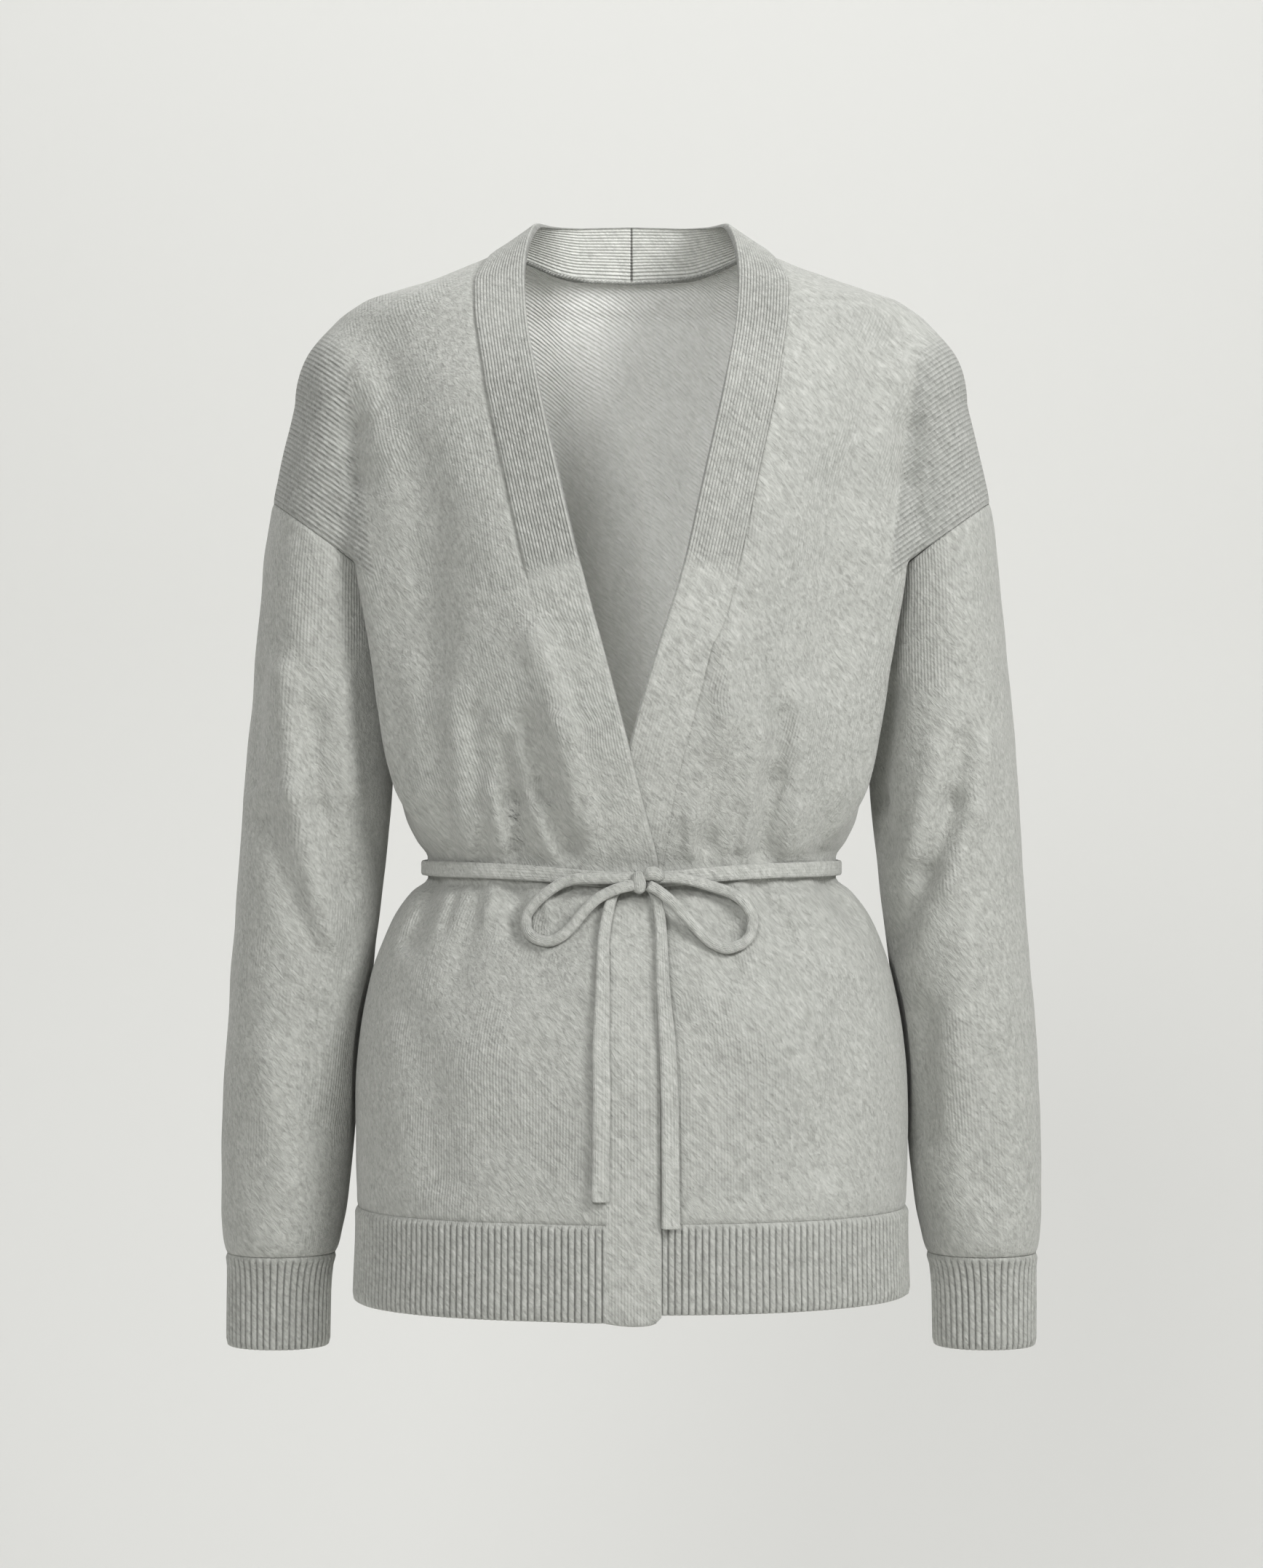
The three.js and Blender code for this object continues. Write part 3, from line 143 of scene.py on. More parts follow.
# Blousing of the fronts over the sleeves: height, extra half width
BLOUSE = [
    (-90, 0), (-115, 10), (-140, 20), (-170, 28), (-197, 31),
    (-244, 25), (-296, 20), (-327, 17), (-350, 10), (-372, 0),
]

# Shoulder seam from the neck to the sleeve: x, height (wearer's right)
SHOULDER = [
    (-79, 0), (-93.6, -6.5), (-111.6, -13.8), (-129.6, -20.2), (-147.6, -26.2),
    (-165.6, -33), (-183.6, -45), (-201.6, -74), (-210.6, -103), (-219.6, -142), SEAM_OUTER,
]

# Band: seam x, y, height, then free edge x, y, height, from the centre back to the hem
BAND_RIGHT = [
    (0, 68, -9, 0, 61, 22.6), (-35, 64, -7, -28, 57, 21.5), (-62, 42, -2, -48, 40, 20),
    (-79, 8, 0, -57.5, 10, 17.4), (-87.5, -22, -12, -63, -22, 2.6), (-94.6, -48, -28, -65, -44, -19),
    (-93, -64, -50, -63.8, -60, -42.4), (-85.5, -84, -92, -56.5, -84, -86),
    (-72, -105, -158.4, -42, -110, -152), (-57.3, -112, -220, -27.5, -118, -213),
    (-46.3, -112, -262, -16.3, -118, -254), (-35, -108, -305, -5, -112, -297),
    (-28, -100, -332, 1.5, -103, -324), (-21, -92, -359, 9, -94, -353),
    (-15.8, -88, -382, 15.2, -88, -380), (-14.8, -98, -410, 16.2, -98, -410),
    (-14.7, -118, HEM_SEAM, 17, -118, HEM_SEAM), (-14.7, -119, HEM_RIGHT, 17, -119, HEM_RIGHT),
]
MIRRORED_ROWS = 9
BAND_LEFT = [(-x, y, z, -edge_x, *edge) for x, y, z, edge_x, *edge in BAND_RIGHT[:MIRRORED_ROWS]]
BAND_LEFT += [
    (59, -112, -216, 29, -118, -209), (47.5, -112, -253, 17.5, -118, -245), (38.7, -110, -281, 9, -114, -273),
    (30.8, -108, -310, 0.8, -112, -303), (24.5, -100, -338.7, -6, -103, -333),
    (20.5, -91, -365, -10.5, -91, -361), (17.6, -88, -386, -13.6, -88, -386),
    (15.6, -98, -415, -15, -98, -415), (15, -118, HEM_SEAM, -15, -118, HEM_SEAM),
    (15, -119, HEM_LEFT, -15, -119, HEM_LEFT),
]

# Folds: x and height of one end, of the other end, width, height
FRONT_FOLDS = [
    (-57, -245, -42, -298, 10, 3.2), (-42, -298, -31, -350, 9, 3), (-63, -292, -51, -331, 8, -3.6),
    (-51, -331, -37, -366, 7, -3.4), (-76, -306, -70, -340, 6.5, -3.4), (-70, -340, -69, -371, 6, -3.6),
    (-86, -335, -78, -366, 8, 3), (-69, -390, -68, -416, 7, -2.8), (-107, -262, -99, -366, 12, 2.6),
    (-94, -290, -89, -366, 8, -2.4), (-118, -392, -133, -426, 7, -3.2), (-92, -392, -104, -450, 9, -1.8),
    (88, -292, 83, -327, 8, -3.4), (83, -327, 76, -370, 7, -4), (78, -300, 68, -366, 9, 3),
    (57, -250, 58, -290, 11, 2.6), (58, -290, 41, -348, 9, 2.4), (50, -318, 44, -366, 6, -2.6),
    (106, -280, 99, -368, 12, 2.8), (78, -392, 92, -420, 7, -2.8), (119, -392, 134, -412, 7, -3.2),
    (52, -394, 60, -445, 9, -1.8), (-112, -120, -80, -190, 22, 2), (112, -128, 84, -200, 22, 2),
]
FRONT_FOLDS += [
    (-48, -372, -56, -352, 4, 1.6), (-34, -370, -30, -340, 3.5, -1.4), (-96, -372, -92, -350, 4, 1.5),
    (-106, -372, -112, -345, 4, -1.6), (36, -372, 34, -350, 3.5, 1.4), (62, -372, 66, -346, 3.5, -1.5),
    (92, -372, 100, -346, 4, 1.6), (112, -372, 118, -350, 4, -1.5), (-84, -390, -88, -412, 4, 1.4),
    (-104, -390, -112, -416, 4, -1.6), (-52, -390, -50, -408, 3.5, 1.2), (64, -390, 70, -412, 4, 1.3),
    (96, -390, 106, -414, 4, -1.6), (-128, -200, -112, -262, 13, -2.6), (128, -206, 114, -268, 13, -2.4),
    (-134, -262, -126, -330, 10, 2.2), (134, -262, 127, -330, 10, 2.2), (-20, -430, -96, -500, 16, 1.5),
    (30, -440, 104, -505, 16, 1.5), (-130, -470, -112, -560, 14, -1.6), (128, -470, 116, -556, 14, -1.6),
]
BACK_FOLDS = [
    (-96, -268, -84, -366, 10, 3), (-78, -300, -70, -368, 8, -3.4), (-52, -322, -47, -368, 8, 2.6),
    (-20, -300, -24, -368, 9, -2.8), (4, -330, 6, -368, 8, 2.4), (30, -310, 27, -368, 8, -3),
    (56, -288, 49, -368, 10, 3), (80, -312, 70, -368, 8, -3.2), (100, -270, 90, -366, 10, 2.8),
    (-108, -392, -122, -440, 9, -3), (-60, -392, -66, -450, 9, -2.4), (-18, -392, -16, -432, 9, -2),
    (36, -392, 42, -452, 9, -2.4), (84, -392, 96, -438, 9, -3), (-60, -120, -110, -176, 20, -2.4),
    (64, -112, 112, -170, 20, -2.4),
]
# Crease where the blousing front lies over the arm, wearer's right side as pattern for both
ARM_FOLDS = [
    (-174, -84, -169, -114, 8, -3), (-169, -114, -166, -146, 8, -3.2),
    (-158, -88, -150, -130, 12, 3.6), (-150, -130, -138, -210, 13, 4), (-128, -130, -116, -196, 12, -1.6),
]
# The crease's line and width, and the height over the armhole seam where the stretched ribs end
CREASE_X = 152
CREASE_SLOPE = 0.136
CREASE_WIDTH = 6
YOKE_TOP = 112
YOKE_FADE = 25
SLEEVE_RIGHT_FOLDS = [
    (-212, -262, -205, -336, 9, 3.6), (-205, -336, -185, -424, 9, 3.6), (-194, -285, -189, -345, 6, -2.6),
    (-189, -345, -172, -392, 6, -2.6), (-176, -270, -172, -335, 7, 2.6), (-226, -352, -210, -388, 9, -2),
    (-206, -400, -192, -430, 8, -2.4), (-229, -262, -232, -330, 5, -2), (-196, -470, -190, -540, 12, -2.4),
    (-222, -500, -214, -570, 12, 2), (-208, -170, -204, -240, 14, 2),
]
SLEEVE_LEFT_FOLDS = [
    (202, -306, 196, -341, 8, -3.8), (196, -341, 179, -385, 7.5, -4.4), (179, -385, 160, -430, 8, -3.6),
    (214, -306, 208, -348, 9, 2.6), (208, -348, 192, -392, 8, 2.4), (184, -310, 172, -372, 9, 2.4),
    (156, -275, 150, -340, 7, -3), (150, -340, 158, -370, 6, -3), (178, -470, 180, -545, 9, -2.6),
    (204, -430, 198, -500, 12, 2.2), (224, -500, 216, -575, 12, -2), (206, -170, 200, -240, 14, 2),
]
SLEEVE_BACK_FOLDS = [
    (-214, -300, -186, -352, 10, 3), (-196, -318, -172, -372, 9, -3.4), (-218, -392, -188, -420, 9, -3),
    (-206, -470, -200, -560, 12, 2),
]

# Belt bow and free ends: x, height, distance of the middle out from what it lies on
LOOP_RIGHT = [
    (1.5, -386.3, 8.6), (-12, -386.3, 8.5), (-29, -386.1, 8.4), (-39.7, -388.2, 8.3), (-50.3, -394.6, 6.8),
    (-58.9, -402.7, 5), (-62.7, -409.5, 4.4), (-62.3, -415.7, 4.2), (-57.6, -421.2, 4.2),
    (-49.5, -423.2, 4.4), (-41.8, -420.2, 4.8), (-35.4, -414.3, 5.6), (-29, -406.5, 6.8),
    (-22.6, -399.8, 8.4), (-15.4, -395, 10.4), (-7, -391.6, 12), (1.2, -389.6, 12.4),
]
LOOP_LEFT = [
    (10.6, -386.4, 8.6), (23.5, -385.6, 8.5), (34.6, -387.2, 8.5), (48.2, -391, 8.2), (59.7, -395.1, 6.4),
    (67.8, -401.4, 4.8), (72.1, -410, 4.3), (71.2, -418.2, 4.2), (64.8, -425.3, 4.2), (56.7, -427.5, 4.4),
    (48.2, -424.5, 4.8), (38.4, -415.5, 5.8), (30.3, -406.5, 7.4), (22.6, -398.4, 9.8),
    (15.4, -392.8, 12.4), (10.4, -390, 12.6),
]
TAIL_RIGHT = [
    (0.6, -388.6, 8.6), (-5.5, -389.8, 7), (-10.8, -395.6, 4.8), (-14.1, -407, 3.5), (-16.6, -424, 2.9),
    (-17.1, -455, 2.7), (-17.9, -485, 2.7), (-17.5, -510, 2.7), (-17.9, -536, 2.7), (-18.3, -574.6, 2.7),
]
TAIL_LEFT = [
    (6.8, -388.8, 8.6), (11, -391, 7), (14.6, -397.6, 4.8), (17.3, -414, 3.5), (18, -433, 2.9),
    (18.6, -450.5, 2.7), (21.1, -483, 2.7), (22.4, -517, 2.7), (22.8, -553, 2.7), (23.1, -590.4, 2.7),
]
TAIL_TOP = 6.2
TAIL_END = 10.4
TAIL_THICK = 4.4
KNOT = (5.8, -388.2)
KNOT_HALF = (4.3, 5.0, 6.3)
CROSSING_START = 1.5
CROSSING_END = 12.5
CROSSING_ARCH = 3.0
CROSSING_THICK = 8.2
LOOP_STEPS = 110
TAIL_STEPS = 150
RING_STEPS = 360
BRIDGED_STEPS = 31

# Camera: at the garment's height, 2.4 m in front of it
CAMERA_DISTANCE = 2.4
CAMERA_HEIGHT = -0.33
LENS = 89.1
camera_data = bpy.data.cameras.new("camera")
camera_data.lens = LENS
camera_data.sensor_width = 36
camera_data.sensor_fit = "AUTO"
camera = bpy.data.objects.new("camera", camera_data)
camera.location = (0, -CAMERA_DISTANCE, CAMERA_HEIGHT)
camera.rotation_euler = (np.pi / 2, 0, 0)
bpy.context.scene.collection.objects.link(camera)
bpy.context.scene.camera = camera


# Numbers and fields
def smooth(value):
    t = np.clip(value, 0, 1)
    return t * t * (3 - 2 * t)


def bell(distance, width):
    return np.exp(-((distance / width) ** 2))


def unit(vector):
    return vector / np.maximum(np.linalg.norm(vector, axis=-1, keepdims=True), 1e-9)


def mix(low, high, share):
    return low + (high - low) * share


def curve(rows, column):
    """Cubic Hermite curve through (row[0], row[column]) with harmonic mean slopes."""
    table = np.array(rows, float)
    table = table[np.argsort(table[:, 0])]
    at = table[:, 0]
    value = table[:, column]
    step = np.diff(at)
    secant = np.diff(value) / step
    before = secant[:-1]
    after = secant[1:]
    same = before * after > 0
    middle = np.where(same, 2 * before * after / np.where(same, before + after, 1), 0)
    slope = np.concatenate([secant[:1], middle, secant[-1:]])

    def value_at(where):
        x = np.clip(where, at[0], at[-1])
        i = np.clip(np.searchsorted(at, x) - 1, 0, len(step) - 1)
        t = (x - at[i]) / step[i]
        rise = (2 * t**3 - 3 * t**2 + 1) * value[i] + (3 * t**2 - 2 * t**3) * value[i + 1]
        return rise + step[i] * ((t**3 - 2 * t**2 + t) * slope[i] + (t**3 - t**2) * slope[i + 1])

    return value_at


half_width = curve(TORSO, 1)
front_depth = curve(TORSO, 2)
back_depth = curve(TORSO, 3)
middle_depth = curve([(-90, 0), (-50, 5), (-30, 8)], 1)
blouse = curve(BLOUSE, 1)
sleeve_x = curve(SLEEVE, 1)
sleeve_width = curve(SLEEVE, 2)
sleeve_y = curve(SLEEVE, 3)
sleeve_depth = curve(SLEEVE, 4)


def fold_height(folds, x, z):
    """Sum over the folds of rise * exp(-(distance to the line between its ends / width)^2)."""
    height = np.zeros(np.broadcast(x, z).shape)
    for x0, z0, x1, z1, width, rise in folds:
        dx = x1 - x0
        dz = z1 - z0
        share = np.clip(((x - x0) * dx + (z - z0) * dz) / (dx * dx + dz * dz), 0, 1)
        height += rise * bell(np.hypot(x - x0 - share * dx, z - z0 - share * dz), width)
    return height


def belt_dip(x, y):
    return -BELT_DIP * bell(x, 55) * smooth(-y / 40)


def torso_field(p):
    """radius * (1 - (|x/a|^n + |y/b|^n)^(-1/n)) less the folds."""
    x, y, z = np.atleast_1d(p[..., 0]), np.atleast_1d(p[..., 1]), np.atleast_1d(p[..., 2])
    level = z - belt_dip(x, y) * bell(z - BELT_HEIGHT, 60)
    middle = middle_depth(z)
    front = y < middle
    depth = np.where(front, front_depth(level), back_depth(level))
    width = half_width(level) + np.where(front, blouse(z) * bell(y - BLOUSE_DEPTH, BLOUSE_SPREAD), 0)
    away = np.abs(y - middle)
    share = (np.abs(x) / width) ** SECTION_POWER + (away / depth) ** SECTION_POWER
    front = np.broadcast_to(front, x.shape)
    folds = np.zeros(x.shape)
    folds[front] = fold_height(FRONT_FOLDS, x[front], z[front])
    folds[~front] = fold_height(BACK_FOLDS, x[~front], z[~front])
    folds = FOLD_GAIN * folds * smooth((away - 12) / 25) * (1 - bell(level - BELT_HEIGHT, 8))
    folds = folds * (1 + 0.5 * bell(level - BELT_HEIGHT, 28))
    away_from_form = np.hypot(x, y - middle) * (1 - np.maximum(share, 1e-9) ** (-1 / SECTION_POWER))
    return (away_from_form - folds).reshape(p.shape[:-1])


def sleeve_field(p):
    x, y, z = -np.abs(p[..., 0]), p[..., 1], p[..., 2]
    across = (x - sleeve_x(z)) / sleeve_width(z)
    deep = (y - sleeve_y(z)) / sleeve_depth(z)
    rise = np.maximum(0, z - CAP_HEIGHT)
    share = np.sqrt(across**2 + deep**2 + (rise / CAP_RISE) ** 2)
    radius = np.sqrt((x - sleeve_x(z)) ** 2 + (y - sleeve_y(z)) ** 2 + rise**2)
    return radius * (1 - 1 / np.maximum(share, 1e-6))


def over_armhole(x, z):
    return z - SEAM_OUTER[1] - SEAM_SLOPE * (np.abs(x) + SEAM_OUTER[0])


def body_field(p):
    """Soft union: min(a, b) - max(f - |a - b|, 0)^2 / 4f with fillet f."""
    above = over_armhole(p[..., 0], p[..., 2])
    torso = torso_field(p)
    sleeve = sleeve_field(p) + 0.8 * np.maximum(0, -above)
    fillet = mix(5, 25, smooth((above + 14) / 22))
    near = np.maximum(fillet - np.abs(torso - sleeve), 0) / fillet
    arm = fold_height(ARM_FOLDS, -np.abs(p[..., 0]), p[..., 2]) * smooth((-p[..., 1] - 8) / 25)
    return np.minimum(torso, sleeve) - near * near * fillet / 4 - arm


def wrap_lift(x, z):
    return WRAP_LIFT * smooth((x + 60) / 42) * smooth((-262 - z) / 50)


def over_field(p):
    return body_field(p) - np.where(p[..., 1] < 0, wrap_lift(p[..., 0], p[..., 2]), 0)


def gradient(field, p):
    step = 0.4
    slopes = []
    for axis in range(3):
        offset = np.zeros(3)
        offset[axis] = step
        slopes.append((field(p + offset) - field(p - offset)) / (2 * step))
    return np.stack(slopes, -1)


def settle(field, p, mask=(1, 1, 1), rounds=5):
    """Newton steps p - F(p) grad F / |grad F|^2 along the axes in mask."""
    p = np.array(p, float)
    for _ in range(rounds):
        slope = gradient(field, p) * np.array(mask)
        steep = np.maximum((slope**2).sum(-1, keepdims=True), 0.1)
        move = -slope * field(p)[..., None] / steep
        reach = np.linalg.norm(move, axis=-1, keepdims=True)
        p = p + move * np.minimum(1, 8 / np.maximum(reach, 1e-9))
    return p


LEVEL = (1, 1, 0)


def reach_along(line):
    """Length from the start of a polyline to each of its points."""
    return np.concatenate([[0], np.cumsum(np.linalg.norm(np.diff(line, axis=0), axis=1))])


def resample(line, count):
    """count + 1 points at equal distances along a polyline."""
    line = np.asarray(line, float)
    reach = reach_along(line)
    target = np.linspace(0, reach[-1], count + 1)
    return np.stack([np.interp(target, reach, line[:, axis]) for axis in range(3)], 1)


def half_section(side, z):
    """One side of a torso section, from the middle of the front to the middle of the back."""
    angle = np.linspace(0, np.pi, 241)
    middle = middle_depth(z)
    deep = np.abs(np.cos(angle)) ** (2 / SECTION_POWER)
    front = np.cos(angle) > 0
    y = np.where(front, middle - front_depth(z) * deep, middle + back_depth(z) * deep)
    swell = np.where(front, blouse(z) * bell(y - BLOUSE_DEPTH, BLOUSE_SPREAD), 0)
    x = (half_width(z) + swell) * np.maximum(np.sin(angle), 0) ** (2 / SECTION_POWER)
    return np.stack([side * x, y, np.full_like(x, z)], 1)


def side_seam_depth(z):
    return float(sleeve_y(UNDERARM) * smooth((z + 310) / 100))


class Side:
    """One front with its band: tables of the seam and of the free edge by length along the seam."""

    def __init__(self, sign, field, table, hem):
        points = np.array(table, float)
        reach = reach_along(points[:, :3])
        rows = np.column_stack([reach, points])
        self.curves = [curve(rows, column) for column in range(1, 7)]
        self.sign = sign
        self.field = field
        self.hem = hem
        self.length = reach[-1]
        self.neck = reach[3]

    def seam(self, t):
        return np.stack([c(t) for c in self.curves[:3]], -1)

    def edge(self, t):
        return np.stack([c(t) for c in self.curves[3:]], -1)

    def station(self, z):
        """Length along the seam, below the shoulder, where the seam is at height z."""
        t = np.linspace(self.neck + 40, self.length, 4000)
        return float(np.interp(-z, -self.seam(t)[:, 2], t))

    def seam_point(self, t):
        p = self.seam(np.asarray(t, float))
        low = (p[..., 2] < UNDERARM + 5)[..., None]
        return np.where(low, settle(self.field, p, LEVEL), settle(self.field, p))


RIGHT = Side(-1, over_field, BAND_RIGHT, HEM_RIGHT)
LEFT = Side(1, body_field, BAND_LEFT, HEM_LEFT)


def row_height(z, x, y):
    return z + belt_dip(x, y) * bell(z - BELT_HEIGHT, 60)


def front_stations(side):
    lower = [side.station(float(row_height(z, 15, -90))) for z in LOWER_ROWS]
    upper = [mix(lower[-1], side.neck, (i + 1) / UPPER_ROWS) for i in range(UPPER_ROWS)]
    return np.array(lower + upper)


def armhole_half(sign, bend):
    """Seam line from the underarm over to the shoulder, where the sleeve meets the seam's plane."""
    angle = np.pi * np.arange(UPPER_ROWS + 1) / UPPER_ROWS
    z = np.full_like(angle, UNDERARM)
    for _ in range(30):
        x = sleeve_x(z) + sleeve_width(z) * np.cos(angle)
        z = SEAM_OUTER[1] - SEAM_SLOPE * (x - SEAM_OUTER[0])
    y = sleeve_y(z) + bend * sleeve_depth(z) * np.sin(angle)
    x = sleeve_x(z) + sleeve_width(z) * np.cos(angle)
    return settle(body_field, np.stack([x, y, z], 1)) * [-sign, 1, 1]


def shoulder_seam(sign):
    outer = armhole_half(sign, -1)[-1]
    rows = [(i, x, z) for i, (x, z) in enumerate(SHOULDER)]
    share = np.linspace(0, 1, 101)
    at = (len(SHOULDER) - 1) * share
    guess = np.stack([-sign * curve(rows, 1)(at), mix(8, outer[1], share), curve(rows, 2)(at)], 1)
    dense = settle(body_field, guess, (1, 0, 1))
    dense[0] = (RIGHT if sign < 0 else LEFT).seam_point(RIGHT.neck)
    dense[-1] = outer
    return resample(dense, FRONT_COLUMNS)


def coons(bottom, top, left, right):
    """P(u, v) = ruled in u + ruled in v - bilinear of the corners."""
    u = np.linspace(0, 1, len(bottom))[None, :, None]
    v = np.linspace(0, 1, len(left))[:, None, None]
    across = mix(np.asarray(left)[:, None], np.asarray(right)[:, None], u)
    along = mix(np.asarray(bottom)[None], np.asarray(top)[None], v)
    low = mix(bottom[0], bottom[-1], u)
    high = mix(top[0], top[-1], u)
    return across + along - mix(low, high, v)


def relax(grid, field, first, rounds=24):
    grid = grid.copy()
    for _ in range(rounds):
        around = (grid[:-2, 1:-1] + grid[2:, 1:-1] + grid[1:-1, :-2] + grid[1:-1, 2:]) / 4
        moved = settle(field, mix(grid[1:-1, 1:-1], around, 0.6))
        grid[first:-1, 1:-1] = moved[first - 1:]
    return grid


def front_grid(side):
    """Rows from the hem seam up, columns from the band out to the side."""
    ts = front_stations(side)
    lower = []
    for t, z in zip(ts, LOWER_ROWS):
        seam = side.seam_point(t)
        line = half_section(side.sign, z)
        line = line[(np.abs(line[:, 0]) > abs(seam[0]) + 1) | (line[:, 1] > -40)]
        line = line[:int(np.argmax(line[:, 1] >= side_seam_depth(z)))]
        points = resample(np.vstack([[seam[0], seam[1], z], line]), FRONT_COLUMNS)
        points[:, 2] = row_height(z, points[:, 0], points[:, 1])
        level = settle(side.field, points, LEVEL)
        level[0] = seam
        level[-1] = settle(side.field, points[-1], (1, 0, 0))
        lower.append(level)
    left = side.seam_point(ts[len(LOWER_ROWS) - 1:])
    armhole = armhole_half(side.sign, -1)
    lower[-1][-1] = armhole[0]
    upper = coons(lower[-1], shoulder_seam(side.sign), left, armhole)
    upper[1:-1, 1:-1] = settle(side.field, upper[1:-1, 1:-1])
    grid = np.concatenate([np.array(lower), upper[1:]])
    return relax(grid, side.field, len(LOWER_ROWS) - 3)


def back_neck():
    t = RIGHT.neck * np.arange(NECK_COLUMNS + 1) / NECK_COLUMNS
    return np.vstack([RIGHT.seam_point(t)[::-1], LEFT.seam_point(t)[1:]])


def back_grid():
    """Rows from the hem seam up, columns from the wearer's right side to the left."""
    columns = 2 * (FRONT_COLUMNS + NECK_COLUMNS)
    lower = []
    for z in LOWER_ROWS:
        depth = side_seam_depth(z)
        right = half_section(-1, z)
        left = half_section(1, z)
        right = right[right[:, 1] >= depth]
        left = left[left[:, 1] >= depth]
        points = resample(np.vstack([right, left[::-1][1:]]), columns)
        level = settle(body_field, points, LEVEL)
        for c in (0, -1):
            level[c] = settle(body_field, [points[c, 0], depth, z], (1, 0, 0))
        lower.append(level)
    right = armhole_half(-1, 1)
    left = armhole_half(1, 1)
    lower[-1][0] = right[0]
    lower[-1][-1] = left[0]
    top = np.vstack([shoulder_seam(-1)[::-1], back_neck()[1:-1], shoulder_seam(1)])
    upper = coons(lower[-1], top, right, left)
    upper[1:-1, 1:-1] = settle(body_field, upper[1:-1, 1:-1])
    grid = np.concatenate([np.array(lower), upper[1:]])
    return relax(grid, body_field, len(LOWER_ROWS) - 3)


def refine(grid, count, axis, loop=False):
    """Cubic points between a grid's lines, at nearly equal distances along axis."""
    g = np.moveaxis(grid, axis, 0)
    if loop:
        padded = np.concatenate([g[-1:], g, g[:2]])
    else:
        padded = np.concatenate([2 * g[:1] - g[1:2], g, 2 * g[-1:] - g[-2:-1]])
    cells = len(g) if loop else len(g) - 1
    span = np.linalg.norm(padded[2:cells + 2] - padded[1:cells + 1], axis=-1)
    reach = np.concatenate([[0], np.cumsum(span.reshape(cells, -1).mean(1))])
    target = np.linspace(0, reach[-1], count + 1)[:count if loop else count + 1]
    at = np.interp(target, reach, np.arange(cells + 1))
    i = np.minimum(at.astype(int), cells - 1)
    t = (at - i).reshape(-1, *([1] * (g.ndim - 1)))
    p0, p1, p2, p3 = (padded[i + k] for k in range(4))
    fine = 0.5 * (2 * p1 + (p2 - p0) * t + (2 * p0 - 5 * p1 + 4 * p2 - p3) * t**2
                  + (3 * p1 - p0 - 3 * p2 + p3) * t**3)
    return np.moveaxis(fine, 0, axis), at


def line_length(line):
    return float(np.linalg.norm(np.diff(line, axis=0), axis=1).sum())


def unevenness(p, size, seed):
    """Soft low waves: a fixed sum of sines in three directions, about one high."""
    rng = np.random.default_rng(seed)
    total = np.zeros(p.shape[:-1])
    for _ in range(7):
        direction = unit(rng.normal(size=3))
        total += np.sin(p @ direction / (size * rng.uniform(0.6, 1.6)) + rng.uniform(0, 6.28))
    return total / 3.5


def hand(p, size, seed, fine_seed):
    """The cloth's own unevenness: low waves and finer ones on them."""
    return WAVE_HEIGHT * unevenness(p, size, seed) + FINE_WAVE_HEIGHT * unevenness(p, FINE_WAVE, fine_seed)


def dress(obj, node):
    """Put a piece on the garment's one body, in its solid's place."""
    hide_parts(node)
    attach(obj, "root")


# Meshes
def add_mesh(name, points, faces, uv, material, ribs=None, inside=None, inside_faces=None):
    """A mesh of quads from whole arrays, points in millimetres, uv in metres of cloth."""
    mesh = bpy.data.meshes.new(name)
    mesh.vertices.add(len(points))
    mesh.vertices.foreach_set("co", (points * MM).astype(np.float32).ravel())
    mesh.loops.add(faces.size)
    mesh.polygons.add(len(faces))
    mesh.loops.foreach_set("vertex_index", faces.astype(np.int32).ravel())
    mesh.polygons.foreach_set("loop_start", np.arange(0, faces.size, 4, dtype=np.int32))
    mesh.update(calc_edges=True)
    corners = faces.ravel()
    for layer_name, values in (("cloth", uv), ("ribs", ribs)):
        if values is not None:
            layer = mesh.uv_layers.new(name=layer_name)
            layer.data.foreach_set("uv", values[corners].astype(np.float32).ravel())
    mesh.polygons.foreach_set("use_smooth", np.ones(len(mesh.polygons), bool))
    mesh.materials.append(material)
    if inside is not None:
        mesh.materials.append(inside)
        mesh.polygons.foreach_set("material_index", inside_faces.astype(np.int32))
    obj = bpy.data.objects.new(name, mesh)
    bpy.context.scene.collection.objects.link(obj)
    return obj


def quads(rows, columns, loop=False, first=0, flip=False):
    """Faces between the lines of a grid of vertex numbers."""
    number = first + np.arange(rows * columns).reshape(rows, columns)
    if loop:
        number = np.concatenate([number, number[:, :1]], 1)
    a, b, c, d = number[:-1, :-1], number[:-1, 1:], number[1:, 1:], number[1:, :-1]
    order = (a, d, c, b) if flip else (a, b, c, d)
    return np.stack([part.ravel() for part in order], 1)


def rim_numbers(rows, columns):
    """Vertex numbers once round the edge of a grid."""
    number = np.arange(rows * columns).reshape(rows, columns)
    return np.concatenate([number[0], number[1:, -1], number[-1, -2::-1], number[-2:0:-1, 0]])


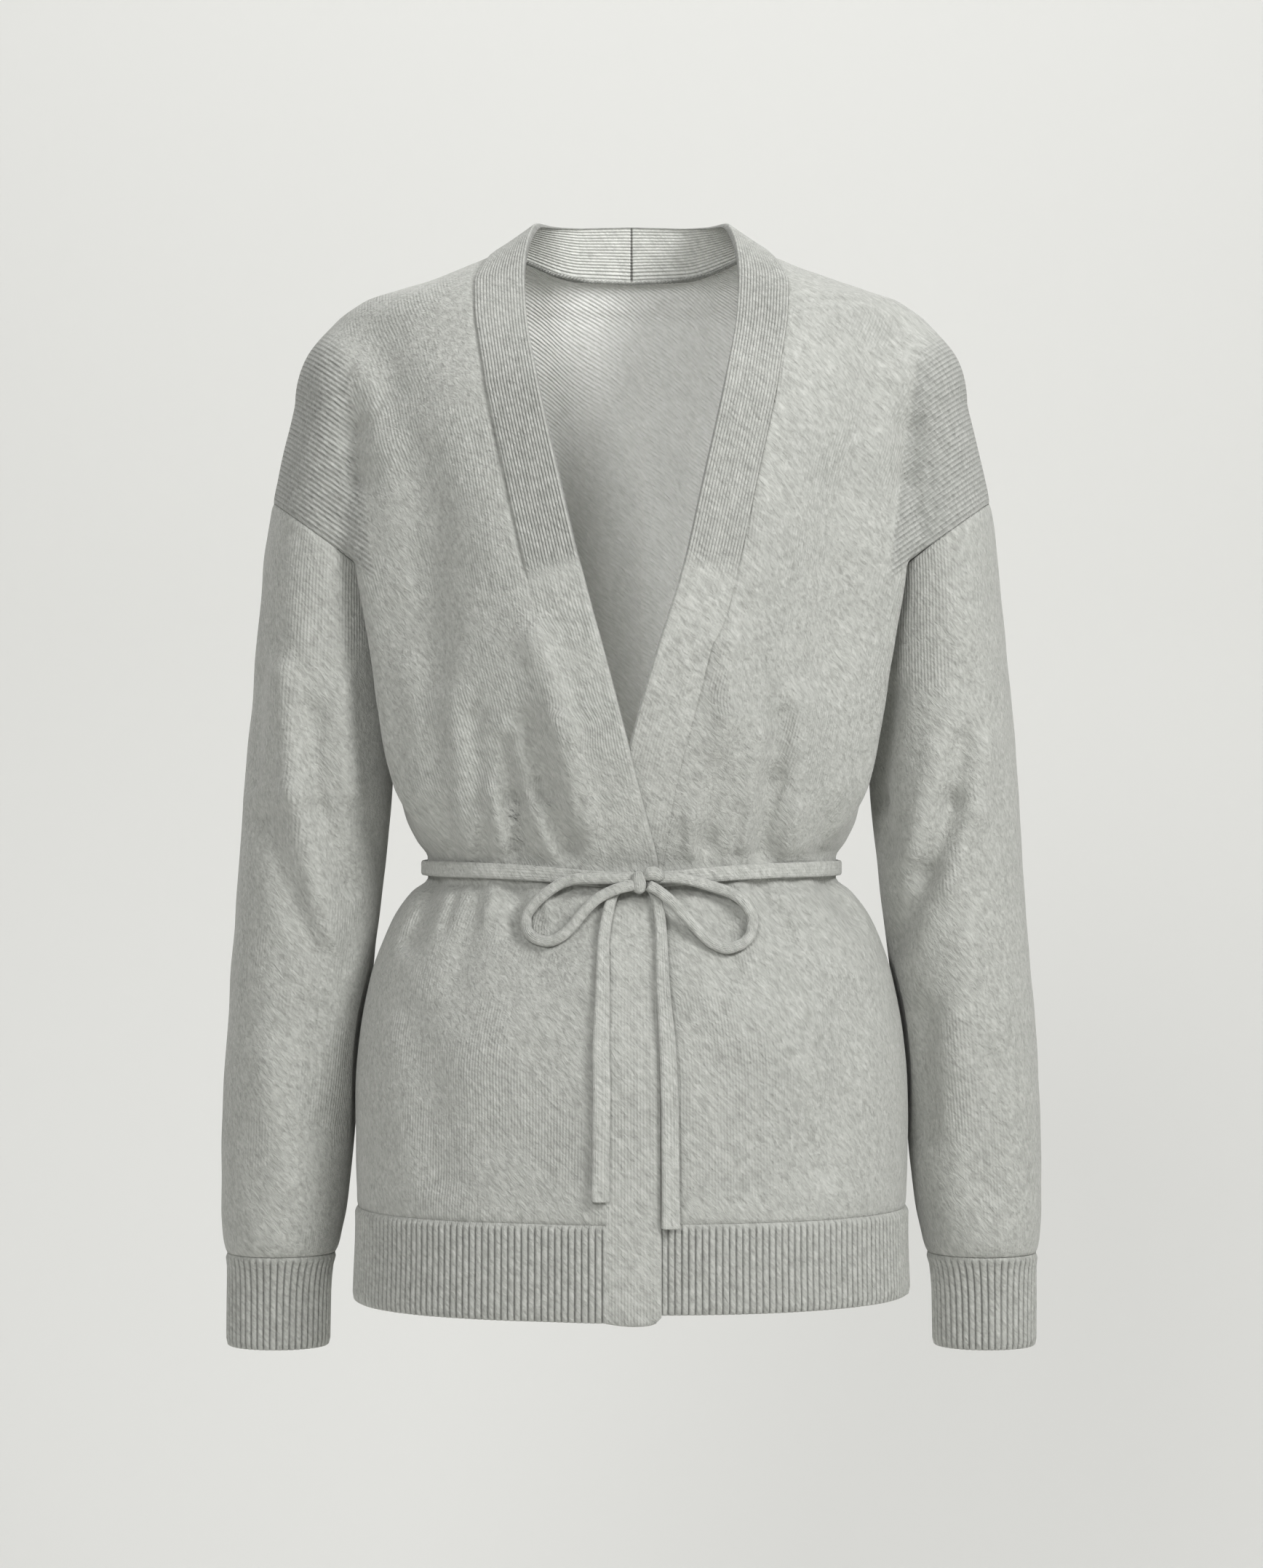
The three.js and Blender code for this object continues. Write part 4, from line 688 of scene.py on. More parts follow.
def shell(name, outer, normals, wall, material, inside, loop=False, flip=False, uv=None, bulge=0.3,
          ribs=None):
    """Thin closed cloth: outer and inner faces and a rounded lip once round the edge."""
    rows, columns = outer.shape[:2]
    total = rows * columns
    inner = outer - normals * wall
    faces = [quads(rows, columns, loop, 0, flip), quads(rows, columns, loop, total, not flip)]
    rims = [np.arange(columns), np.arange(total - columns, total)] if loop else [rim_numbers(rows, columns)]
    flat = outer.reshape(-1, 3)
    flat_inner = inner.reshape(-1, 3)
    points = [flat, flat_inner]
    if uv is None:
        step = np.linalg.norm(np.diff(outer, axis=1), axis=-1)
        u = np.concatenate([np.zeros((rows, 1)), np.cumsum(step, 1)], 1)
        climb = np.linalg.norm(np.diff(outer, axis=0), axis=-1).mean(1)
        v = np.concatenate([[0], np.cumsum(climb)])[:, None] + np.zeros((1, columns))
        uv = np.stack([u, v], -1)
    flat_uv = uv.reshape(-1, 2) * MM
    uvs = [flat_uv, flat_uv]
    rib_uvs = None if ribs is None else [ribs.reshape(-1, 2), ribs.reshape(-1, 2)]
    start = 2 * total
    for k, rim in enumerate(rims):
        if loop:
            inward = (outer[1] - outer[0]) if k == 0 else (outer[-2] - outer[-1])
        else:
            r, c = np.divmod(rim, columns)
            inward = outer[np.clip(r, 1, rows - 2), np.clip(c, 1, columns - 2)] - outer[r, c]
        lip = (flat[rim] + flat_inner[rim]) / 2 - unit(inward) * wall * bulge
        points.append(lip)
        uvs.append(flat_uv[rim])
        if rib_uvs is not None:
            rib_uvs.append(rib_uvs[0][rim])
        count = len(rim)
        here = start + np.arange(count)
        after = np.roll(here, -1)
        turn = np.roll(rim, -1)
        strip_out = np.stack([rim, turn, after, here], 1)
        strip_in = np.stack([here, after, turn + total, rim + total], 1)
        reverse = (k == 0) != flip if loop else not flip
        for strip in (strip_out, strip_in):
            faces.append(strip[:, ::-1] if reverse else strip)
        start += count
    within = np.zeros(sum(len(part) for part in faces), bool)
    within[len(faces[0]):len(faces[0]) + len(faces[1])] = True
    return add_mesh(name, np.concatenate(points), np.concatenate(faces), np.concatenate(uvs), material,
                    None if rib_uvs is None else np.concatenate(rib_uvs), inside, within)


def grid_normals(grid, loop, outward):
    """Cross product of the grid's own directions, turned outward."""
    if loop:
        across = np.roll(grid, -1, 1) - np.roll(grid, 1, 1)
    else:
        across = np.gradient(grid, axis=1)
    return unit(np.cross(across, np.gradient(grid, axis=0))) * outward


# Materials
def colour(code):
    """sRGB hex to linear RGBA."""
    parts = np.array([int(code[i:i + 2], 16) for i in (1, 3, 5)]) / 255
    linear = np.where(parts <= 0.04045, parts / 12.92, ((parts + 0.055) / 1.055) ** 2.4)
    return (*linear.tolist(), 1)


def add_node(tree, kind, inputs=None, **settings):
    """One node with its settings, its inputs given as values or as sockets to link."""
    node = tree.nodes.new(kind)
    for name, value in settings.items():
        setattr(node, name, value)
    for name, value in (inputs or {}).items():
        if isinstance(value, bpy.types.NodeSocket):
            tree.links.new(value, node.inputs[name])
        else:
            node.inputs[name].default_value = value
    return node


def noise(tree, vector, scale, detail, roughness=0.5, distortion=0.0):
    """A noise texture's value between 0 and 1."""
    node = add_node(tree, "ShaderNodeTexNoise", {
        "Vector": vector, "Scale": scale, "Detail": detail, "Roughness": roughness,
        "Distortion": distortion})
    return node.outputs["Fac"]


def bump(tree, height, depth, under=None):
    """Relief depth mm deep, on the normal under it where there is one."""
    inputs = {"Height": height, "Strength": 1.0, "Distance": depth * MM}
    if under is not None:
        inputs["Normal"] = under
    return add_node(tree, "ShaderNodeBump", inputs).outputs["Normal"]


# Noise scales of the mottling, the flecks, the nap and the patches worn clear
MOTTLE_SCALE = 130.0
FLECK_SCALE = 520.0
NAP_SCALE = 1100.0
PATCH_SCALE = 16.0
# Slant of the fibres, how far they are drawn out, and the depth of the nap
FIBRE_SLANT = -0.75
FIBRE_STRETCH = 3.4
NAP_DEPTH = 0.45
# Share of the flecks in the colour, and where it is wholly dark and wholly light
FLECK_SHARE = 0.75
ALL_DARK = 0.3
ALL_LIGHT = 0.7


def wool(name, light, dark, pitch, wale, grain, clear, slant=0.0, ribs=None):
    """Brushed grey heather wool knit.

    The eye gets: mixed light and dark fibres as fine mottling and short flecks
    laid at a slant, a soft nap as sheen and fine bump, and the knit's wales as
    lines pitch mm apart and wale mm deep, clear in patches. Where the ribs
    layer says so, ribs show instead: how deep, and how much painted shade
    darkens the colour in the valleys between them.
    """
    material = bpy.data.materials.new(name)
    material.use_nodes = True
    tree = material.node_tree
    tree.nodes.clear()
    place = add_node(tree, "ShaderNodeTexCoord")
    lay = add_node(tree, "ShaderNodeMapping", {
        "Vector": place.outputs["Object"], "Rotation": (0.0, FIBRE_SLANT, 0.0),
        "Scale": (1.0, 1.0, FIBRE_STRETCH)}, vector_type="TEXTURE")
    mottle = noise(tree, place.outputs["Object"], MOTTLE_SCALE, 5.0, 0.7)
    fleck = noise(tree, lay.outputs["Vector"], FLECK_SCALE, 2.0, 0.6, 0.6)
    nap = noise(tree, lay.outputs["Vector"], NAP_SCALE, 2.0, 0.6, 0.8)
    soft = add_node(tree, "ShaderNodeMath", {0: mottle, 1: 1 - FLECK_SHARE}, operation="MULTIPLY")
    both = add_node(tree, "ShaderNodeMath", {
        0: fleck, 1: FLECK_SHARE, 2: soft.outputs["Value"]}, operation="MULTIPLY_ADD")
    ramp = add_node(tree, "ShaderNodeValToRGB", {"Fac": both.outputs["Value"]})
    ramp.color_ramp.elements[0].position = ALL_DARK
    ramp.color_ramp.elements[0].color = colour(dark)
    ramp.color_ramp.elements[1].position = ALL_LIGHT
    ramp.color_ramp.elements[1].color = colour(light)
    cloth = add_node(tree, "ShaderNodeUVMap", uv_map="cloth")
    stitches = add_node(tree, "ShaderNodeMapping", {
        "Vector": cloth.outputs["UV"], "Rotation": (0.0, 0.0, slant)})
    wales = add_node(tree, "ShaderNodeTexWave", {
        "Vector": stitches.outputs["Vector"], "Scale": WAVE * 1000 / pitch, "Distortion": 0.6,
        "Detail": 2.0, "Detail Scale": 4.0}, wave_type="BANDS", bands_direction="X")
    patch = noise(tree, place.outputs["Object"], PATCH_SCALE, 2.0)
    worn = add_node(tree, "ShaderNodeMapRange", {
        "Value": patch, "From Min": 0.44, "From Max": 0.6, "To Min": clear, "To Max": 1.0})
    lines = add_node(tree, "ShaderNodeMath", {
        0: wales.outputs["Fac"], 1: worn.outputs["Result"]}, operation="MULTIPLY")
    height = lines.outputs["Value"]
    base = ramp.outputs["Color"]
    if ribs is not None:
        over = add_node(tree, "ShaderNodeUVMap", uv_map="ribs")
        bands = add_node(tree, "ShaderNodeTexWave", {
            "Vector": over.outputs["UV"], "Scale": WAVE * 1000 / YOKE_PITCH, "Distortion": 0.2,
            "Detail": 2.0, "Detail Scale": 6.0}, wave_type="BANDS", bands_direction="X")
        split = add_node(tree, "ShaderNodeSeparateXYZ", {"Vector": over.outputs["UV"]})
        stronger = add_node(tree, "ShaderNodeMath", {
            0: bands.outputs["Fac"], 1: ribs[0]}, operation="MULTIPLY")
        chosen = add_node(tree, "ShaderNodeMix", {
            "Factor": split.outputs["Y"], "A": height, "B": stronger.outputs["Value"]})
        height = chosen.outputs["Result"]
        # Painted shade: the colour is darkened in the valleys between the ribs, down to the second number of
        # ribs
        valley = add_node(tree, "ShaderNodeMapRange", {
            "Value": bands.outputs["Fac"], "From Min": 0.0, "From Max": 0.32,
            "To Min": ribs[1], "To Max": 1.0})
        shade = add_node(tree, "ShaderNodeMix", {
            "Factor": split.outputs["Y"], "A": 1.0, "B": valley.outputs["Result"]})
        base = add_node(tree, "ShaderNodeVectorMath", {
            0: base, "Scale": shade.outputs["Result"]}, operation="SCALE").outputs["Vector"]
    knit = bump(tree, height, wale)
    felt = bump(tree, both.outputs["Value"], grain, knit)
    fuzz = bump(tree, nap, NAP_DEPTH, felt)
    shader = add_node(tree, "ShaderNodeBsdfPrincipled", {
        "Base Color": base, "Roughness": 0.95, "Specular IOR Level": 0.15,
        "Sheen Weight": 0.4, "Sheen Roughness": 0.5, "Sheen Tint": colour("#F2F2EF"),
        "Normal": fuzz})
    output = add_node(tree, "ShaderNodeOutputMaterial")
    tree.links.new(shader.outputs["BSDF"], output.inputs["Surface"])
    return material


# A wave texture has one band in 1 / (20 / 2 pi) of its scaled length
WAVE = 2 * np.pi / 20
# Ribs of the stretched shoulder, and the unit that every ribs layer is measured in
YOKE_PITCH = 2.75

# The body's brushed jersey hides most stitches under its nap; the stretched ribs on its shoulder get painted
# shade in their valleys
BODY_KNIT = wool("brushed_heather_jersey", "#B8B9B4", "#8D8E89", 1.85, 0.3, 1.0, 0.1, ribs=(3.4, 0.8))
# The unbrushed back of the jersey shows slanting purl lines and is a little lighter in its own right; its
# colour is painted much lighter still, as painted light on the garment's dim inside
PURL_SIDE_PAINTED_LIGHT = wool("jersey_purl_side_painted_light", "#FAFAF7", "#E4E5E0", 2.2, 0.5, 0.45, 0.85, slant=-0.9)
# Ribbed cuffs and hem show the rib's lines cleaner than the body, with painted shade in the valleys between
# the ribs
RIB_KNIT = wool("heather_rib", "#B8B9B4", "#8D8E89", 1.35, 0.25, 0.8, 0.4, ribs=(1.2, 0.6))
# The band is the finest knit, smooth and firm, with painted shade in the valleys between its ribs
BAND_KNIT = wool("fine_heather_band_rib", "#BBBCB7", "#8F908B", 1.82, 0.3, 0.8, 0.3, ribs=(1.6, 0.62))
# Its inner face, seen at the collar, is painted lighter like the jersey's inside, as painted light on the
# collar's inside, with painted shade between its ribs
BAND_INSIDE_PAINTED_LIGHT = wool("band_inner_face_painted_light", "#EAEBE6", "#C4C5C0", 1.82, 0.3, 0.6, 0.3, ribs=(1.0, 0.8))
# The belt is a small knitted tube with a fuzzy face
BELT_KNIT = wool("knitted_wool_cord", "#BFC0BB", "#93948F", 1.3, 0.3, 0.8, 0.4)


# Cords: bows and free ends of the belt
def rest_depth(x, z):
    """Depth of the surface that the belt's pieces lie on, seen from the front."""
    x = np.asarray(x, float)
    z = np.asarray(z, float)
    form = settle(body_field, np.stack([x, np.full_like(x, -100), z], -1), (0, 1, 0))[..., 1]
    wrap = wrap_lift(x, z) * (1 - smooth((x - 18) / 30))
    return form - wrap - BAND_PROUD * (1 - smooth((np.abs(x) - 20) / 15))


def route(table, steps):
    """Cubic path through a table of x, height, distance out, that bridges the small folds under it."""
    rows = [(i, *row) for i, row in enumerate(table)]
    at = np.linspace(0, len(table) - 1, 160)
    x, z, out = (curve(rows, column)(at) for column in (1, 2, 3))
    window = np.hanning(BRIDGED_STEPS)
    beneath = np.pad(rest_depth(x, z), BRIDGED_STEPS // 2, mode="edge")
    bridged = np.convolve(beneath, window / window.sum(), "valid")
    return resample(np.stack([x, bridged - out, z], 1), steps)


def sweep(name, path, outward, across, thick, material, closed=False, count=20, flat=0.75, dent=0.0):
    """A tube: section (a |cos|^flat, b |sin|^flat) set across the path and out from the body.

    dent sinks a groove down the middle of the outer face, as a flattened tube has."""
    if closed:
        along = unit(np.roll(path, -1, 0) - np.roll(path, 1, 0))
    else:
        along = unit(np.gradient(path, axis=0))
    side = unit(np.cross(along, outward))
    out = np.cross(side, along)
    angle = 2 * np.pi * np.arange(count) / count
    round_off = lambda value: np.sign(value) * np.abs(value) ** flat
    a = (np.asarray(across)[:, None] / 2) * round_off(np.cos(angle))
    b = (np.asarray(thick)[:, None] / 2) * round_off(np.sin(angle))
    b = b * (1 - dent * bell(np.cos(angle), 0.4) * (np.sin(angle) > 0))
    rings = path[:, None] + side[:, None] * a[..., None] + out[:, None] * b[..., None]
    if not closed:
        start = path[0] - along[0] * 0.6 + (rings[0] - path[0]) * 0.7
        end = path[-1] + along[-1] * 0.6 + (rings[-1] - path[-1]) * 0.8
        tips = [path[0] + (start - path[0]) * 0.02, path[-1] + (end - path[-1]) * 0.02]
        rings = np.concatenate([tips[0][None] - along[0] * 0.8, start[None], rings, end[None],
                                tips[1][None] + along[-1] * 0.8])
    rows = len(rings)
    faces = quads(rows, count, True)
    if closed:
        last = (rows - 1) * count + np.arange(count)
        first = np.arange(count)
        faces = np.concatenate([faces, np.stack([last, np.roll(last, -1), np.roll(first, -1), first], 1)])
    reach = reach_along(rings.mean(1))
    u = np.linspace(0, 2 * np.mean(across) + 2 * np.mean(thick), count)
    uv = np.stack(np.broadcast_arrays(u[None], reach[:, None]), -1).reshape(-1, 2) * MM
    return add_mesh(name, rings.reshape(-1, 3), faces, uv, material)


FORWARD = np.array([0.0, -1.0, 0.0])
for name, table in (("belt_loop_right", LOOP_RIGHT), ("belt_loop_left", LOOP_LEFT)):
    path = route(table, LOOP_STEPS)
    full = np.full(len(path), LOOP_DIAMETER)
    loop = sweep(f"knit_{name}", path, FORWARD, full, full * 0.94, BELT_KNIT, flat=0.92, dent=0.1)
    dress(loop, name)
    length = line_length(path) * MM

for name, table in (("belt_tail_right", TAIL_RIGHT), ("belt_tail_left", TAIL_LEFT)):
    path = route(table, TAIL_STEPS)
    share = np.linspace(0, 1, len(path))
    width = mix(TAIL_TOP, TAIL_END, smooth(share * 1.5))
    width = width + 0.5 * smooth((share - 0.86) / 0.14)
    thick = mix(TAIL_TOP * 0.85, TAIL_THICK, smooth(share * 2.2))
    tail = sweep(f"knit_{name}", path, FORWARD, width, thick, BELT_KNIT, flat=0.7, dent=0.28)
    dress(tail, name)
    length = line_length(path) * MM


# Belt round the waist
def belt_ring():
    half = [half_section(sign, BELT_HEIGHT) for sign in (-1, 1)]
    round_line = np.vstack([half[0], half[1][::-1][1:-1]])
    line = resample(np.vstack([round_line, round_line[:1]]), RING_STEPS)[:-1]
    line[:, 2] = BELT_HEIGHT + belt_dip(line[:, 0], line[:, 1])
    rest = settle(body_field, line, LEVEL)
    out = unit(gradient(body_field, rest) * [1, 1, 0])
    wrap = np.where(rest[:, 1] < 0, rest[:, 1] - rest_depth(rest[:, 0], rest[:, 2]), 0)
    proud = BELT_CLEARANCE + BELT_THICK / 2 + np.where(np.abs(rest[:, 0]) < 70, wrap, 0)
    return rest + out * proud[:, None], out


ring, ring_out = belt_ring()
wide = np.full(len(ring), BELT_WIDTH * 0.93) + 0.35 * unevenness(ring, 18, 3)
belt = sweep("knit_belt_waist", ring, ring_out, wide, np.full(len(ring), BELT_THICK), BELT_KNIT,
             closed=True, flat=0.7, dent=0.16)
dress(belt, "belt_waist")


def knot():
    """The wrap: a short upright roll, r(t) with pinched ends, and the strand that crosses beside it."""
    front = float(rest_depth(KNOT[0], KNOT[1])) - BELT_CLEARANCE - BELT_THICK - SEAM_GAP
    t = np.linspace(-1, 1, 40)
    shape = np.maximum(1 - np.abs(t) ** 3.2, 0.02) ** 0.5
    path = np.stack([KNOT[0] - 1.4 + 0.6 * t, front - KNOT_HALF[1] - 1.4 * (1 - t * t),
                     KNOT[1] - KNOT_HALF[2] * t], 1)
    wrap = sweep("knit_belt_knot", path, FORWARD, 2 * KNOT_HALF[0] * shape, 1.9 * KNOT_HALF[1] * shape,
                 BELT_KNIT, flat=0.85)
    s = np.linspace(0, 1, 60)
    x = mix(KNOT[0] + CROSSING_START, KNOT[0] + CROSSING_END, s)
    z = KNOT[1] + 2.6 + CROSSING_ARCH * np.sin(np.pi * s) - 0.6 * s
    y = front - 4.2 - 3.2 * np.sin(np.pi * s)
    thick = CROSSING_THICK * np.maximum(1 - np.abs(2 * s - 1) ** 3, 0.05) ** 0.5
    cross = sweep("knit_belt_crossing", np.stack([x, y, z], 1), FORWARD, thick, thick, BELT_KNIT, flat=0.92)
    return wrap, cross


wrap, crossing = knot()
dress(wrap, "belt_knot")
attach(crossing, "root")


# Body panels
def fulled(z):
    """1 where the band's seam and ribs show, 0 below where the fulled cloth hides them."""
    return smooth((z - BAND_RIBS_END) / BAND_FADE + 0.5)


def seam_shown(z, sign):
    """How deep the band's seam is: the left one goes on, softer, towards the belt."""
    return np.maximum(fulled(z), (LEFT_SEAM_SHARE if sign > 0 else 0) * smooth((z - LEFT_SEAM_END) / 60))


def meet_band(grid, side):
    """Bring a front's first columns on to the band's seam."""
    line = side.seam_point(np.linspace(0, side.length, 2400))
    nearest = np.argmin(((grid[:, 0][:, None] - line[None]) ** 2).sum(-1), axis=1)
    weight = smooth(1 - np.arange(grid.shape[1]) / 9)
    return grid + (line[nearest] - grid[:, 0])[:, None] * weight[None, :, None]


def soften(grid, field, seed, side):
    """Uneven hand of the cloth: low waves along the normal, and a roll into each seam."""
    normals = unit(gradient(field, grid))
    waves = hand(grid, PANEL_WAVE, seed, seed + 1)
    rows, columns = grid.shape[:2]
    reach_r = np.minimum(np.arange(rows), np.arange(rows)[::-1])[:, None]
    reach_c = np.minimum(np.arange(columns), np.arange(columns)[::-1])[None]
    edge = smooth(np.minimum(reach_r, reach_c) / 6)
    seam = SEAM_ROLL * np.exp(-np.minimum(reach_r, reach_c) / 1.2)
    if side is not None:
        near_band = (np.arange(columns)[None] < columns / 2) & (reach_c < reach_r)
        seam = np.where(near_band, seam * seam_shown(grid[..., 2], side.sign), seam)
    return grid + normals * (waves * edge - seam)[..., None], normals


def panel(name, coarse, field, columns, seed, side=None):
    """One piece of the body: its coarse grid refined, settled on the form and given the cloth's hand."""
    fine, _ = refine(coarse, PANEL_ROWS, 0)
    fine, _ = refine(fine, columns, 1)
    fine = settle(field, fine, rounds=2)
    if side is not None:
        fine = meet_band(fine, side)
    level = np.diff(fine, axis=1)
    u = np.concatenate([np.zeros((len(fine), 1)), np.cumsum(np.hypot(level[..., 0], level[..., 1]), 1)], 1)
    u = u - u[:, u.shape[1] // 2, None]
    v = np.cumsum(np.linalg.norm(np.diff(fine, axis=0, prepend=fine[:1]), axis=-1), 0)
    uv = np.stack([u, v], -1)
    shaped, normals = soften(fine, field, seed, side)
    turned = name != "front_left"
    own = grid_normals(shaped, False, -1 if turned else 1)
    agree = np.sign((own * normals).sum(-1, keepdims=True))
    own = unit(own * agree + normals * 0.35)
    over = over_armhole(shaped[..., 0], shaped[..., 2]) / np.hypot(1, SEAM_SLOPE)
    crease = CREASE_X + CREASE_SLOPE * (shaped[..., 2] - UNDERARM)
    wide = smooth((np.abs(shaped[..., 0]) - crease) / CREASE_WIDTH)
    wide = wide * smooth((YOKE_TOP - over) / YOKE_FADE) * smooth((over + 5) / 6)
    yoke = np.stack([over * MM, wide], -1)
    obj = shell(f"knit_{name}", shaped, own, CLOTH_WALL, BODY_KNIT, PURL_SIDE_PAINTED_LIGHT, flip=turned, uv=uv, ribs=yoke)
    dress(obj, name)


panel("front_right", front_grid(RIGHT), RIGHT.field, FRONT_LINES, 11, RIGHT)
panel("front_left", front_grid(LEFT), LEFT.field, FRONT_LINES, 12, LEFT)
panel("back", back_grid(), body_field, BACK_LINES, 13)


# Sleeves
# Share of the sleeve's length with closer rings, and that over which the armhole's shape is kept
CLOSE_SHARE = 0.12
KEPT_SHARE = 0.15


def sleeve_grid(sign, rings, around):
    """P(s, v): ring start at the armhole carried down the sleeve's ellipses, with the folds on top."""
    ring = np.vstack([armhole_half(sign, -1), armhole_half(sign, 1)[1:-1][::-1]])
    fine, at = refine(ring, around, 0, loop=True)
    start = settle(body_field, fine, rounds=2)
    half = np.where(at <= UPPER_ROWS, at, 2 * UPPER_ROWS - at)
    angle = np.pi * half / UPPER_ROWS
    bend = np.where(at <= UPPER_ROWS, -1, 1)
    close = rings // 5
    v = [np.linspace(0, CLOSE_SHARE, close)[:-1], np.linspace(CLOSE_SHARE, 1, rings - close + 1)]
    v = np.concatenate(v)[:, None]
    z = mix(start[None, :, 2], CUFF_SEAM, v)

    def ellipse(height):
        x = sleeve_x(height) + sleeve_width(height) * np.cos(angle)
        return -sign * x, sleeve_y(height) + bend * sleeve_depth(height) * np.sin(angle)

    x, y = ellipse(z)
    root_x, root_y = ellipse(start[None, :, 2])
    keep = smooth(1 - v / KEPT_SHARE)
    x = x + keep * (start[None, :, 0] - root_x)
    y = y + keep * (start[None, :, 1] - root_y)
    out = unit(np.stack([x + sign * sleeve_x(z), y - sleeve_y(z), np.zeros_like(z)], -1))
    folds = SLEEVE_RIGHT_FOLDS if sign < 0 else SLEEVE_LEFT_FOLDS
    behind = fold_height(SLEEVE_BACK_FOLDS, -np.abs(x), z)
    rise = SLEEVE_FOLD_GAIN * np.where(bend < 0, fold_height(folds, x, z), behind)
    facing = smooth(np.abs(out[..., 1]) / 0.5) * (1 - keep)
    grid = np.stack([x, y, z], -1) + out * (rise * facing)[..., None]
    for _ in range(4):
        push = np.maximum(SLEEVE_CLEARANCE - torso_field(grid), 0) * (v > 0.02)
        grid[..., 0] += sign * push * 1.05
    return grid


for name, side in (("sleeve_right", RIGHT), ("sleeve_left", LEFT)):
    grid = sleeve_grid(side.sign, SLEEVE_ROWS, SLEEVE_LINES)
    normals = grid_normals(grid, True, -side.sign)
    depth = np.arange(len(grid))[:, None]
    edge = smooth(np.minimum(depth, depth[::-1]) / 6)
    waves = hand(grid, SLEEVE_WAVE, 21 + side.sign, 31 + side.sign)
    seam = SEAM_ROLL * np.exp(-np.minimum(depth, depth[::-1]) / 1.1)
    grid = grid + normals * (waves * edge - seam)[..., None]
    girth = np.linspace(0, 280, grid.shape[1])[None] + np.zeros((len(grid), 1))
    fall = np.cumsum(np.linalg.norm(np.diff(grid, axis=0, prepend=grid[:1]), axis=-1), 0)
    plain_layer = np.zeros((*grid.shape[:2], 2))
    obj = shell(f"knit_{name}", grid, normals, CLOTH_WALL, BODY_KNIT, PURL_SIDE_PAINTED_LIGHT, loop=True,
                flip=side.sign < 0, uv=np.stack([girth, fall], -1), ribs=plain_layer)
    dress(obj, name)


# Ribs: share of the height above the solid's, their shape's power, and the stretch they fade in over
RIB_GAIN = 1.5
RIB_SINK = 0.65
RIB_POWER = 0.55
RIB_FADE = 4.5
RIB_TOP = 4


def rib_profile(phase):
    """Height of the ribs: flat round tops and narrow valleys."""
    return RIB_HEIGHT * np.abs(np.cos(np.pi * phase)) ** RIB_POWER


def rib_piece(name, section, top, foot, ribs, loop):
    """Grid of the section's normal offset by the rib height, rounded in at the foot."""
    steps = LINES_PER_RIB * ribs
    heights = np.concatenate([np.linspace(top, top - RIB_TOP, 5)[:-1], np.linspace(top - RIB_TOP, foot, 15)])
    rows = []
    for z in heights:
        line = section(z)
        points = resample(np.vstack([line, line[:1]]) if loop else line, steps)
        rows.append(points[:-1] if loop else points)
    base = np.array(rows)
    along = np.roll(base, -1, 1) - np.roll(base, 1, 1) if loop else np.gradient(base, axis=1)
    along = unit(along * [1, 1, 0])
    out = np.stack([along[..., 1], -along[..., 0], np.zeros(along.shape[:2])], -1)
    share = np.arange(base.shape[1]) / steps * ribs
    fade = smooth((top - heights + 0.6) / RIB_FADE)[:, None]
    tuck = 0.8 * bell(heights - foot, 1.6)[:, None] + 0.7 * bell(heights - top, 1.4)[:, None]
    lift = (rib_profile(share)[None] * RIB_GAIN - RIB_SINK) * fade - tuck
    lift = lift + FINE_WAVE_HEIGHT * unevenness(base, RIB_WAVE, 5)
    grid = base + out * lift[..., None]
    uv = np.stack(np.broadcast_arrays((share * RIB_PITCH)[None], -heights[:, None]), -1)
    over = np.stack(np.broadcast_arrays((share + 0.5)[None] * YOKE_PITCH * MM, fade), -1)
    obj = shell(f"knit_{name}", grid, out, RIB_WALL - 0.4, RIB_KNIT, PURL_SIDE_PAINTED_LIGHT, loop=loop, uv=uv, bulge=0.35,
                ribs=over)
    dress(obj, name)


for name, side in (("cuff_right", RIGHT), ("cuff_left", LEFT)):
    def cuff_section(z, sign=side.sign):
        angle = 2 * np.pi * np.arange(160) / 160
        x = sleeve_x(z) + sleeve_width(z) * np.cos(angle)
        y = sleeve_y(z) - sleeve_depth(z) * np.sin(angle)
        line = np.stack([-sign * x, y, np.full_like(x, z)], 1)
        return line[::-1] if sign < 0 else line

    rib_piece(name, cuff_section, CUFF_SEAM - SEAM_GAP, CUFF_END, CUFF_RIBS, True)


def hem_section(side, z):
    start = side.seam_point(side.station(max(z, side.hem + 1)))
    line = half_section(side.sign, z)
    line = line[np.abs(line[:, 0]) > abs(start[0]) + SEAM_GAP]
    line = line[:int(np.argmax(line[:, 1] >= 0))]
    points = np.vstack([[start[0] + side.sign * SEAM_GAP, start[1], z], line])
    settled = settle(side.field, points, LEVEL)
    settled = np.vstack([settled, [side.sign * half_width(z), -SEAM_GAP / 2, z]])
    return settled[::-1] if side.sign < 0 else settled


for name, side in (("hem_rib_right", RIGHT), ("hem_rib_left", LEFT)):
    length = line_length(hem_section(side, HEM_SEAM))
    rib_piece(name, lambda z, side=side: hem_section(side, z), HEM_SEAM - SEAM_GAP, side.hem,
              round(length / RIB_PITCH), False)


def back_hem_section(z):
    right = half_section(-1, z)
    left = half_section(1, z)
    right = right[right[:, 1] > SEAM_GAP / 2]
    left = left[left[:, 1] > SEAM_GAP / 2]
    settled = settle(body_field, np.vstack([left, right[::-1][1:]]), LEVEL)
    ends = np.array([[half_width(z), SEAM_GAP / 2, z], [-half_width(z), SEAM_GAP / 2, z]])
    return np.vstack([ends[:1], settled, ends[1:]])


